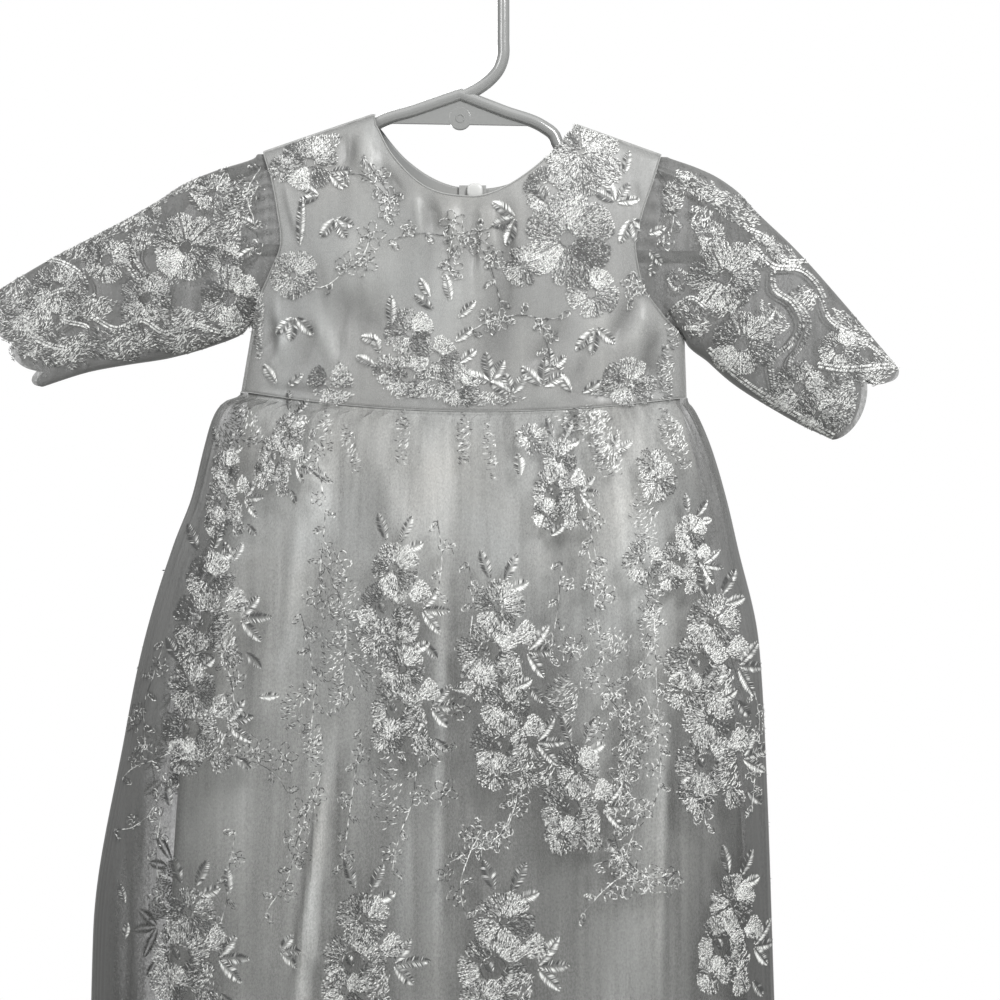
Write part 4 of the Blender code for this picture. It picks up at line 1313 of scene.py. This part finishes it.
def worked(spec, fine=1.0):
    # motifs are drawn larger and then drawn in, so that a smaller "fine" gives finer thread
    def small(motif, *place):
        motif[:, 4] *= fine
        return moved(motif, *place, size=fine)

    parts = [small(blossom(r / fine, n, h), x, z) for x, z, r, n, h in spec.get("blossoms", ())]
    parts += [small(leaf(a / fine, w / fine, b), x, z, t) for x, z, a, w, t, b in spec.get("leaves", ())]
    parts += [spray(*row) for row in spec.get("sprays", ())]
    parts += [small(dust(a / fine, b / fine, t, n), x, z) for x, z, a, b, t, n in spec.get("dusts", ())]
    for flatPoints in spec.get("trails", ()):
        parts.append(trail(np.array(flatPoints).reshape(-1, 2)))
    parts += [small(sprig(s / fine), x, z) for x, z, s in spec.get("sprigs", ())]
    for width, *flatPoints in spec.get("cords", ()):
        parts.append(cord(np.array(flatPoints).reshape(-1, 2), width))
    for row in spec.get("clusters", ()):
        parts.append(cluster(*row, fine if row[1] > -600 else 1.15 * fine))
    return np.concatenate(parts)


def mirroredRows(rows, about=0.0):
    out = rows.copy()
    out[:, 0] = 2 * about - rows[:, 0]
    out[:, 2] = 2 * about - rows[:, 2]
    return out


laid("bodiceWorkFront", worked(bodiceWork, 0.84), surfaces["bodiceFront"], 0.95, 1.0, -1)
backRows = mirroredRows(worked(bodiceWork))
for panel, way in (("BackLeft", -1), ("BackRight", 1)):
    edge = surfaces["bodice" + panel][:, -1 if way < 0 else 0]
    clear = (backRows[:, 0] - np.interp(backRows[:, 1], edge[::-1, 2], edge[::-1, 0])) * way > 3.2
    sewn = stem(edge[4:-1:6][:, (0, 2)] + np.array((2.0 * way, 0.0)), 2.4)
    laid("bodiceWork" + panel, np.concatenate((backRows[clear], sewn)), surfaces["bodice" + panel], 0.95, 1.0, 1)

skirtWork = {
    # x, z, size, squeeze, lean
    "clusters": (
        (-127.1, -315.2, 0.8, 0.8, 0.1),
        (52.3, -310.8, 0.8, 0.9, 0.0),
        (-97.4, -294.2, 0.75, 0.8, -0.3),
        (-133.7, -379.0, 1.05, 1.0, 0.1),
        (-140.2, -436.2, 1.0, 1.0, 0.2),
        (-34.7, -372.4, 1.0, 0.95, 0.0),
        (-29.2, -424.1, 0.95, 0.95, 0.05),
        (20.4, -394.4, 1.05, 0.95, 0.0),
        (25.9, -443.9, 0.95, 1.0, 0.1),
        (133.7, -402.6, 1.05, 1.05, -0.1),
        (135.9, -454.9, 1.05, 1.0, 0.1),
        (120.5, -348.2, 0.7, 0.95, -0.2),
        (62.2, -476.9, 0.95, 0.95, 0.0),
        (-143.6, -556.6, 1.05, 1.0, 0.0),
        (-50.1, -556.6, 1.05, 1.0, 0.0),
        (23.7, -559.4, 1.1, 1.05, 0.0),
        (144.7, -553.9, 1.05, 0.85, -0.1),
        (-173.2, -647.4, 1.0, 0.9, 0.1),
        (-90.8, -652.9, 1.05, 1.0, 0.0),
        (-13.8, -658.4, 1.05, 1.0, 0.1),
        (68.8, -650.1, 1.05, 1.0, 0.0),
        (129.2, -652.9, 1.0, 0.9, 0.0),
        (-140.2, -724.4, 1.05, 1.0, 0.0),
        (-52.3, -721.6, 1.05, 1.0, 0.0),
        (30.3, -727.1, 1.05, 1.0, 0.0),
        (107.3, -724.4, 1.05, 1.0, 0.0),
        (-184.3, -801.4, 1.0, 0.9, 0.1),
        (-96.3, -804.1, 1.05, 1.0, 0.0),
        (-13.8, -806.9, 1.05, 1.0, 0.1),
        (74.2, -804.1, 1.05, 1.0, 0.0),
        (145.8, -801.4, 1.0, 0.9, 0.0),
    ),
    "blossoms": (
        (104.5, -306.4, 12.0, 4, 0.1),
        (101.8, -298.1, 9.0, 4, 0.1),
        (35.8, -284.4, 9.0, 4, 0.1),
        (96.3, -350.4, 12.0, 5, 0.3),
    ),
    "leaves": (
        (-72.6, -306.4, 9.0, 5.0, 1.0, -0.35),
        (30.3, -305.2, 12.0, 6.0, 0.1, 0.2),
        (45.7, -336.6, 9.0, 5.0, -0.9, 0.2),
        (-156.8, -482.4, 12.0, 5.0, 0.2, -0.2),
        (-123.8, -526.4, 14.0, 5.5, 0.1, 0.0),
        (-182.1, -534.6, 10.0, 4.5, 0.3, -0.1),
        (-182.6, -553.9, 9.0, 4.5, -0.2, 0.2),
        (-109.5, -421.9, 11.0, 4.5, -1.5, 0.2),
        (-7.2, -417.5, 11.0, 4.5, -1.5, 0.2),
        (85.2, -421.9, 11.0, 4.5, 1.5, 0.1),
    ),
    "sprays": (
        (2, 11.0, 5.0, 79.8, -292.6, -0.6),
        (3, 11.0, 5.0, -123.8, -350.4, 0.4),
        (3, 12.0, 5.5, -96.3, -553.9, -1.5),
        (2, 11.0, 5.0, -156.8, -570.4, 2.0),
    ),
    # x, z, half width, half height, turn, amount
    "dusts": (
        (-118.3, -276.1, 7.0, 14.0, 0.5, 0.8),
        (-90.8, -278.9, 5.0, 14.0, -0.2, 0.7),
        (-74.2, -280.0, 4.0, 12.0, 0.1, 0.6),
        (-60.5, -289.9, 4.0, 14.0, 0.3, 0.6),
        (-33.0, -284.4, 4.0, 15.0, 0.0, 0.6),
        (0.0, -284.4, 4.0, 14.0, 0.0, 0.7),
        (13.8, -292.6, 3.5, 16.0, 0.1, 0.5),
        (64.4, -274.5, 14.0, 8.0, 0.0, 1.0),
        (77.0, -295.4, 8.0, 10.0, 0.3, 0.9),
        (113.9, -284.4, 6.0, 18.0, 0.35, 0.8),
        (74.2, -284.4, 10.0, 7.0, 0.2, 0.8),
        (-63.3, -372.4, 8.0, 18.0, 0.1, 0.35),
        (-49.5, -399.9, 9.0, 20.0, 0.0, 0.35),
        (-68.8, -405.4, 7.0, 22.0, 0.0, 0.35),
        (-41.2, -471.4, 8.0, 20.0, 0.0, 0.3),
        (96.3, -328.4, 7.0, 15.0, 0.2, 0.5),
        (99.0, -383.4, 6.0, 18.0, 0.0, 0.5),
        (52.3, -421.9, 9.0, 12.0, 0.0, 0.8),
        (41.2, -460.4, 6.0, 14.0, 0.0, 0.6),
        (79.8, -394.4, 10.0, 9.0, 0.4, 0.5),
        (-90.8, -427.4, 7.0, 12.0, 0.0, 0.5),
        (-79.8, -443.9, 6.0, 14.0, 0.2, 0.5),
    ),
    "trails": (
        (-133.7, -350.4, -131.5, -383.4, -123.8, -416.4, -120.5, -438.4),
        (-126.0, -452.1, -111.7, -456.0, -99.0, -463.1, -93.0, -471.4),
        (-120.5, -493.4, -123.8, -509.9, -124.9, -526.4, -128.2, -540.1),
        (-74.2, -350.4, -66.0, -366.9, -62.2, -383.4, -63.3, -405.4, -65.5, -427.4),
        (-74.2, -460.4, -82.0, -482.4, -88.0, -498.9, -90.8, -512.6, -104.0, -534.6),
        (-53.4, -438.4, -56.7, -460.4, -60.0, -482.4, -63.3, -509.9),
        (-33.6, -449.4, -25.9, -450.5, -18.2, -446.6, -9.4, -450.5),
        (66.0, -342.1, 68.8, -361.4, 69.9, -377.9, 74.2, -399.9),
        (96.3, -355.9, 100.7, -372.4, 101.8, -394.4, 102.9, -427.4),
        (22.0, -457.6, 25.9, -476.9, 19.2, -493.4, 2.8, -501.6, -9.4, -509.9),
        (79.8, -427.4, 88.0, -449.4, 83.1, -471.4, 79.8, -493.4, 84.2, -509.9),
        (96.3, -421.9, 101.8, -438.4, 104.5, -460.4, 101.8, -476.9),
        (85.2, -515.4, 74.2, -523.6, 63.3, -534.6),
        (107.3, -515.4, 96.3, -518.1, 85.2, -520.9),
        (118.3, -471.4, 126.0, -476.9, 129.2, -490.6),
        (2.8, -350.4, 5.0, -372.4, 2.8, -394.4),
        (-13.8, -328.4, -11.6, -350.4, -13.8, -366.9),
        (-186.5, -468.6, -177.7, -461.5, -167.8, -457.6, -159.0, -453.8),
        (-189.8, -495.6, -181.0, -494.5, -172.2, -489.0, -164.5, -479.1, -161.2, -469.2),
        (157.9, -421.9, 160.6, -438.4, 158.4, -460.4, 155.7, -482.4),
        (-80.9, -278.9, -77.6, -300.9, -74.2, -322.9, -75.4, -344.9, -77.6, -366.9),
        (-86.4, -377.9, -80.9, -399.9, -78.7, -421.9, -80.9, -443.9),
        (-24.8, -460.4, -27.0, -476.9, -33.6, -493.4, -36.9, -509.9),
        (1.7, -537.4, -1.7, -520.9, 2.8, -504.4, 9.4, -490.6),
        (52.3, -350.4, 50.1, -372.4, 45.7, -399.9),
        (-162.2, -394.4, -167.8, -410.9, -173.2, -427.4, -172.2, -449.4),
        (-161.2, -482.4, -165.0, -504.4, -162.2, -526.4),
        (-189.8, -680.4, -156.8, -685.9, -129.2, -683.1),
        (-74.2, -680.4, -46.8, -687.0, -24.8, -680.4),
        (2.8, -680.4, 30.3, -684.8, 52.3, -680.4),
        (74.2, -757.4, 96.3, -762.9, 123.8, -757.4),
        (-19.2, -757.4, 2.8, -764.0, 24.8, -757.4),
        (-129.2, -757.4, -101.8, -764.0, -79.8, -757.4),
        (66.0, -317.4, 67.7, -333.9, 71.0, -350.4, 75.4, -368.0),
        (100.7, -394.4, 93.0, -407.6, 80.9, -416.4, 67.7, -413.1),
        (76.5, -421.9, 86.4, -434.0, 90.8, -449.4, 85.2, -464.8, 91.9, -482.4, 85.2, -507.1),
        (68.8, -509.9, 84.2, -507.7, 96.3, -516.5, 109.5, -516.5),
        (30.3, -465.9, 25.9, -482.4, 19.2, -495.6, 5.0, -494.5),
    ),
    "sprigs": (
        (-110.0, -450.5, 12.0), (-95.2, -453.8, 11.0), (-119.9, -449.4, 9.0), (-83.6, -481.3, 11.0),
        (-86.4, -503.3, 10.0), (-18.2, -450.5, 11.0), (88.0, -452.1, 13.0), (101.8, -441.1, 12.0),
        (83.6, -476.9, 11.0), (107.3, -519.8, 11.0), (88.6, -519.8, 12.0), (5.5, -494.5, 10.0),
        (126.5, -482.4, 11.0), (157.9, -446.6, 12.0), (151.2, -442.8, 9.0), (-181.0, -438.4, 8.0), (-172.2, -450.5, 9.0),
        (68.8, -412.0, 11.0), (79.8, -421.9, 10.0), (87.5, -430.7, 10.0), (90.8, -446.1, 11.0), (84.2, -464.8, 12.0),
        (93.0, -482.4, 10.0), (84.2, -507.1, 11.0), (96.3, -516.5, 11.0), (65.5, -495.6, 10.0), (29.2, -473.6, 9.0),
        (19.2, -494.5, 10.0), (99.6, -375.7, 9.0), (74.2, -366.9, 9.0), (56.7, -396.6, 9.0), (69.9, -438.4, 9.0),
        (-66.0, -350.4, 9.0), (-72.1, -372.4, 10.0), (-2.8, -427.4, 9.0), (-9.9, -471.4, 10.0), (58.9, -394.4, 9.0),
    ),
}
skirtRows = worked(skirtWork)
# painted shade: the thread is drawn darker on the left, where it lies in shadow, than on the right
skirtRows[:, 5] += 0.0008 * skirtRows[:, 0]
laid("skirtWorkFront", skirtRows, surfaces["skirtFront"], 0.28, 1.3, -1, 0.2, 1.3)
backSkirtRows = mirroredRows(worked(skirtWork, 1.2), -9.0)
laid("skirtWorkBack", backSkirtRows, surfaces["skirtBack"], 0.28, 1.3, 1, 0.2, 1.3)

sleeveWork = {
    "right": {
        "blossoms": (
            (141.4, -196.4, 20.0, 6, 0.16),
            (151.2, -232.1, 19.0, 6, 0.2),
            (182.1, -255.8, 14.0, 5, 0.2),
            (134.2, -174.4, 8.5, 5, 0.12),
            (162.2, -181.0, 10.0, 5, 0.2),
            (204.1, -234.9, 11.0, 5, 0.2),
            (116.1, -197.5, 6.5, 5, 0.5),
            (192.5, -270.6, 12.0, 5, 0.12),
        ),
        "dusts": (
            (129.2, -146.9, 15.0, 6.0, -0.55, 1.0),
            (148.5, -159.0, 15.0, 8.0, -0.6, 1.0),
            (113.9, -152.4, 6.0, 12.0, -0.2, 0.7),
            (123.8, -218.4, 11.0, 7.0, -0.8, 0.9),
            (174.4, -184.3, 10.0, 6.0, -0.7, 1.0),
            (167.8, -218.4, 10.0, 6.0, -0.9, 0.9),
            (211.8, -223.9, 14.0, 7.0, -0.75, 1.0),
            (217.3, -247.0, 14.0, 7.0, -0.3, 1.0),
            (203.5, -262.4, 10.0, 14.0, 0.0, 1.1),
            (129.2, -164.5, 6.0, 9.0, 0.4, 0.7),
            (140.2, -212.9, 9.0, 5.0, 0.3, 0.8),
            (184.3, -207.4, 8.0, 7.0, 0.0, 0.9),
            (230.5, -240.4, 9.0, 6.0, -0.7, 1.1),
            (170.5, -262.4, 10.0, 5.0, -0.5, 1.0),
        ),
        "cords": (
            (3.0, 157.9, -179.9, 167.8, -189.8, 184.3, -192.0, 192.5, -199.1, 196.4, -207.4),
            (3.0, 167.8, -192.0, 168.3, -201.9, 178.8, -210.1, 183.7, -221.1, 177.7, -232.1, 167.8, -240.4, 168.9, -258.0),
            (2.6, 178.8, -207.4, 187.6, -221.1, 184.3, -232.1, 177.7, -241.5, 178.8, -251.4),
            (2.6, 194.2, -207.4, 198.6, -218.4, 211.8, -226.6, 226.1, -236.0, 235.4, -243.7),
            (3.2, 192.5, -243.7, 206.3, -245.9, 221.7, -244.8, 235.4, -243.7),
            (2.6, 184.3, -241.5, 190.9, -251.4, 193.1, -262.4, 187.6, -273.4),
            (3.0, 209.6, -250.3, 211.8, -259.6, 209.6, -273.4, 203.0, -280.0),
            (2.4, 107.3, -223.9, 113.9, -212.9, 123.8, -207.4, 131.5, -212.9),
            (2.4, 111.7, -234.9, 119.4, -223.9, 129.2, -223.9),
            (2.6, 154.0, -170.0, 165.0, -174.4, 174.4, -186.5, 187.6, -186.5),
            (3.0, 133.1, -234.9, 145.8, -247.0, 162.2, -259.1, 184.3, -272.2, 201.9, -282.2),
            (2.4, 129.2, -130.4, 148.5, -144.7, 167.8, -160.6, 184.3, -179.9, 206.3, -205.2, 228.3, -229.4),
        ),
        "leaves": (
            (98.5, -173.2, 11.0, 5.0, -1.2, 0.3),
            (99.6, -181.0, 11.0, 5.0, -2.4, 0.1),
            (102.9, -186.5, 9.0, 4.5, 3.0, -0.1),
            (160.1, -223.9, 12.0, 5.0, -0.7, 0.1),
        ),
        "trails": (
            (104.5, -135.9, 111.7, -146.9, 113.9, -160.6, 111.7, -174.4),
            (123.8, -138.6, 129.2, -152.4, 123.8, -166.1),
        ),
    },
    "left": {
        "blossoms": (
            (-151.2, -179.9, 19.0, 6, 0.16),
            (-173.2, -207.4, 14.0, 5, 0.2),
            (-128.2, -207.4, 17.0, 6, 0.2),
            (-195.3, -186.5, 14.0, 5, 0.2),
            (-137.5, -149.6, 12.0, 5, 0.15),
            (-222.8, -201.9, 14.0, 5, 0.2),
            (-129.2, -186.5, 10.0, 5, 0.3),
            (-173.2, -160.6, 9.0, 5, 0.2),
        ),
        "dusts": (
            (-156.8, -144.1, 18.0, 7.0, 0.5, 1.0),
            (-189.8, -166.1, 18.0, 7.0, 0.5, 1.0),
            (-129.2, -168.9, 8.0, 16.0, 0.1, 0.9),
            (-156.8, -218.4, 18.0, 6.0, -0.1, 1.0),
            (-206.3, -212.9, 16.0, 8.0, 0.1, 1.0),
            (-233.8, -218.4, 10.0, 12.0, 0.3, 1.1),
            (-121.0, -152.4, 6.0, 12.0, 0.1, 0.8),
            (-217.3, -179.9, 14.0, 8.0, 0.4, 1.0),
            (-162.2, -196.4, 8.0, 6.0, 0.3, 0.8),
            (-118.3, -223.9, 6.0, 10.0, 0.0, 0.9),
            (-222.8, -236.0, 16.0, 9.0, -0.1, 1.0),
            (-194.2, -232.7, 20.0, 8.0, -0.1, 0.9),
            (-159.5, -230.5, 22.0, 7.0, -0.08, 0.9),
            (-130.4, -226.6, 12.0, 6.0, -0.1, 0.9),
            (-243.7, -223.9, 11.0, 17.0, 0.2, 1.0),
            (-249.2, -204.6, 10.0, 12.0, 0.3, 0.9),
            (-178.8, -177.1, 10.0, 6.0, 0.4, 0.8),
        ),
        "cords": (
            (3.0, -181.5, -171.6, -184.3, -186.5, -177.7, -199.1, -185.4, -212.9, -183.2, -226.6),
            (3.0, -165.0, -166.1, -167.8, -179.9, -161.2, -190.9, -165.0, -207.4, -161.2, -223.9),
            (2.6, -239.3, -186.5, -222.8, -186.5, -206.3, -199.1, -209.0, -212.9, -222.8, -223.9),
            (2.6, -200.8, -170.0, -203.5, -186.5, -211.8, -197.5),
            (2.6, -174.4, -167.8, -179.9, -183.2, -173.2, -197.5, -181.0, -211.8, -177.7, -232.1),
            (2.4, -231.6, -207.4, -217.3, -203.0, -219.5, -218.4, -205.2, -223.9, -209.6, -236.0),
            (2.4, -245.9, -192.0, -237.1, -201.9, -243.7, -214.0, -233.8, -223.9, -237.1, -238.2),
            (3.0, -244.8, -207.4, -239.3, -223.9, -228.3, -232.1, -217.3, -234.9),
            (2.6, -203.0, -217.3, -189.8, -223.9, -175.5, -219.5, -163.4, -226.1, -148.0, -221.7, -133.7, -225.5),
            (2.4, -123.8, -127.6, -151.2, -140.2, -178.8, -155.1, -206.3, -170.0, -233.8, -182.6),
            (2.4, -119.4, -174.4, -124.9, -186.5, -120.5, -199.1, -123.8, -212.9),
        ),
        "leaves": (
            (-111.7, -170.0, 11.0, 5.0, 1.0, 0.2),
            (-113.9, -179.9, 11.0, 5.0, 2.2, 0.1),
            (-143.0, -160.6, 12.0, 5.0, 0.6, -0.1),
        ),
        "trails": (
            (-111.7, -135.9, -118.3, -149.6, -115.0, -164.5, -111.7, -177.1),
            (-129.2, -133.1, -133.7, -146.9, -129.2, -159.0),
        ),
    },
}
for side in ("left", "right"):
    for face, way in (("Front", -1), ("Back", 1)):
        rows = worked(sleeveWork[side], 0.84 if face == "Front" else 1.0)
        laid("sleeveWork" + side.capitalize() + face, rows, surfaces["sleeve" + side.capitalize() + face], 1.0, 0.95, way)
print("embroidery ready")

# seams: gathered or piped lines of cloth where the panels meet
seamSpec = {"piping": 0.42, "hem": 0.8, "armhole": 0.28, "waist": 0.26}
bodiceFront = surfaces["bodiceFront"]
lines = {
    "waistSeam": (bodiceFront[-1] + np.array((0, -0.3, -0.1)), seamSpec["waist"]),
    "leftArmholeSeam": (bodiceFront[: int(bodice["rows"] * 0.74), 0], seamSpec["armhole"]),
    "rightArmholeSeam": (bodiceFront[: int(bodice["rows"] * 0.74), -1], seamSpec["armhole"]),
    "frontTopEdge": (bodiceFront[0] + np.array((0, 0.6, 0.1)), seamSpec["piping"]),
    "backLeftTopEdge": (surfaces["bodiceBackLeft"][0] + np.array((0, -0.6, 0.1)), seamSpec["piping"]),
    "backRightTopEdge": (surfaces["bodiceBackRight"][0] + np.array((0, -0.6, 0.1)), seamSpec["piping"]),
    "frontHem": (surfaces["skirtFront"][-1], seamSpec["hem"]),
    "backHem": (surfaces["skirtBack"][-1], seamSpec["hem"]),
}
edgeShade = Shading("seam cloth", {"Sheen Weight": 0.2})
edgeTone = edgeShade.noise(300.0, 2.0)
edgeShade.feed("Base Color", edgeShade.blend(edgeTone, grey(0.20), grey(0.30)))
edgeShade.feed("Roughness", 0.5 + 0.1 * edgeTone)
for name, (line, radius) in lines.items():
    dress(tube(name, line, radius, edgeShade.material, 6))
print("seams ready")

hanger = {
    "rod": 3.5,
    "stem": 3.4,
    "apex": (-2.5, -94.6),
    "roll": math.radians(0.965),
    # one arm and half the bar, from the apex
    "arm": (
        (0.0, 0.0),
        (24.0, -8.8),
        (46.0, -16.8),
        (51.5, -20.8),
        (54.5, -26.8),
        (59.5, -29.8),
        (65.5, -28.8),
        (72.0, -28.4),
        (90.0, -33.6),
        (110.0, -40.9),
        (132.0, -49.0),
        (146.0, -56.0),
        (154.0, -65.0),
        (157.2, -74.5),
        (153.5, -83.0),
        (145.0, -86.7),
        (132.0, -87.0),
        (60.0, -87.0),
    ),
    "neck": ((-1.0, -95.4), (7.0, -91.3), (13.8, -86.2), (18.4, -80.6), (20.8, -74.0), (21.0, -64.0)),
    "hook": 21.0,
    "hookTurn": math.radians(200),
    "plate": (44.3, 16.3, 2.4),  # half width, drop, thickness
    "boss": (6.2, 13.0, 3.6),  # radius, drop below the apex, thickness
}


def rolled(x, z):
    c, s = math.cos(hanger["roll"]), math.sin(hanger["roll"])
    return hanger["apex"][0] + x * c + z * s, hanger["apex"][1] - x * s + z * c


def inPlane(points):
    return [(x, 0.0, z) for x, z in points]


arm = smoothLine(hanger["arm"], 2.0)
loop = np.concatenate((arm, (arm * (-1, 1))[:0:-1]))
frameRod = tube("hangerPiece", inPlane([rolled(x, z) for x, z in loop]), hanger["rod"], plasticShade.material, 20, True)
curl = [
    (hanger["hook"] * math.cos(a), hanger["rod"] - hanger["hook"] + hanger["hook"] * math.sin(a))
    for a in np.linspace(0, hanger["hookTurn"], 60)
]
stemPath = np.concatenate((smoothLine(hanger["neck"] + ((21.0, -45.0),), 2.0)[:-1], np.array(((21.0, -45.0), (21.0, -30.0))), curl))
stemRadius = np.full(len(stemPath), hanger["stem"])
tip = np.sqrt(np.clip(np.linspace(0.02, 1, 5), 0, 1))[::-1]
stemRadius[-5:] *= tip
hookRod = tube("hook", inPlane(stemPath), stemRadius, plasticShade.material, 20)


def plateMesh():
    # the gusset: a thin triangular plate
    half, drop, thick = hanger["plate"]
    outline = [rolled(*corner) for corner in ((0.0, -0.4), (half, -drop), (-half, -drop))]
    vertices = [(x, y, z) for y in (-thick / 2, thick / 2) for x, z in outline]
    made = bpy.data.meshes.new("gusset")
    made.from_pydata(
        [tuple(c * mm for c in v) for v in vertices],
        [],
        [(0, 1, 2), (5, 4, 3), (0, 3, 4, 1), (1, 4, 5, 2), (2, 5, 3, 0)],
    )
    made.materials.append(plasticShade.material)
    gusset = bpy.data.objects.new("gusset", made)
    scene.collection.objects.link(gusset)
    return gusset


def bossMesh():
    radius, drop, thick = hanger["boss"]
    x, z = rolled(0.0, -drop)
    profile = ((0.0, 0.69), (0.26, 0.69), (0.31, 0.84), (0.38, 0.84), (0.43, 0.69), (0.95, 0.69))
    profile += ((1.0, 0.62), (1.0, -0.85), (0.96, -0.98), (0.0, -1.0))
    turn = np.arange(40) * 2 * math.pi / 40
    rings = [
        np.stack((x + radius * max(r, 0.001) * np.cos(turn), np.full(40, -thick / 2 * y), z + radius * max(r, 0.001) * np.sin(turn)), 1)
        for r, y in profile
    ]
    return meshOf("boss", np.concatenate(rings), gridFaces(len(rings), 40, closed=True)[:, ::-1], plasticShade.material, False)


hangerPiece = joined("hangerPiece", [frameRod, hookRod, plateMesh(), bossMesh()])
dress(hangerPiece, ["hanger"])

# a small padded tab over the top of the zip, seen inside the neck
tab = {"x": 5.25, "z": -145.4, "half": (4.4, 1.0, 4.2), "in": 2.9}
turns, rises = np.meshgrid(np.linspace(0, 2 * math.pi, 33)[:-1], np.linspace(-math.pi / 2, math.pi / 2, 15))
tabY = halfGap + float(bodiceDepth(np.array(tab["x"]), np.array(tab["z"]))) - tab["in"]
ballX = np.sign(np.cos(turns)) * np.abs(np.cos(turns)) ** 0.7 * np.cos(rises) ** 0.7
ballZ = np.sign(np.sin(turns)) * np.abs(np.sin(turns)) ** 0.7 * np.cos(rises) ** 0.7
tabPoints = np.stack(
    (tab["x"] + tab["half"][0] * ballX, tabY + tab["half"][1] * np.sin(rises), tab["z"] + tab["half"][2] * ballZ), -1
)
dress(
    meshOf("zipTab", tabPoints.reshape(-1, 3), gridFaces(15, 32, closed=True), liningSatin),
)

# the coil of the zip, between the edges of the back, from the slider to the waist
coil = {"radius": 0.55, "thread": 0.2, "pitch": 1.1, "steps": 7}
tapeSpots = np.array([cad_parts["zip_tape"].matrix_world @ v.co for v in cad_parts["zip_tape"].data.vertices])
tapeSpots *= 1 / mm
tapeRows = np.unique(np.round(tapeSpots[:, 2], 1))
tapeOut = [tapeSpots[np.abs(tapeSpots[:, 2] - z) < 0.2][:, 1].max() for z in tapeRows]
tapeMiddle = [tapeSpots[np.abs(tapeSpots[:, 2] - z) < 0.2][:, 0].mean() for z in tapeRows]
turnCount = int((tapeRows[-1] - 16 - tapeRows[0] - 4) / coil["pitch"])
share = np.linspace(0, 1, turnCount * coil["steps"])
coilZ = tapeRows[-1] - 16 + (tapeRows[0] + 4 - tapeRows[-1] + 16) * share
wound = 2 * math.pi * turnCount * share
coilLine = np.stack(
    (
        np.interp(coilZ, tapeRows, tapeMiddle) + coil["radius"] * np.cos(wound),
        np.interp(coilZ, tapeRows, tapeOut) + 0.25 + coil["radius"] * (0.6 + 0.6 * np.sin(wound)),
        coilZ,
    ),
    -1,
)
dress(tube("zipCoil", coilLine, coil["thread"], tapeShade.material, 5))
print("zip ready", tapeRows[0], tapeRows[-1], tapeOut[0], tapeMiddle[0], tapeMiddle[-1])

for node, material in (
    ("zip_tape", tapeShade.material),
    ("zip_slider", zipShade.material),
    ("zip_pull", zipShade.material),
):
    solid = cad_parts[node]
    solid.data.materials.clear()
    solid.data.materials.append(material)
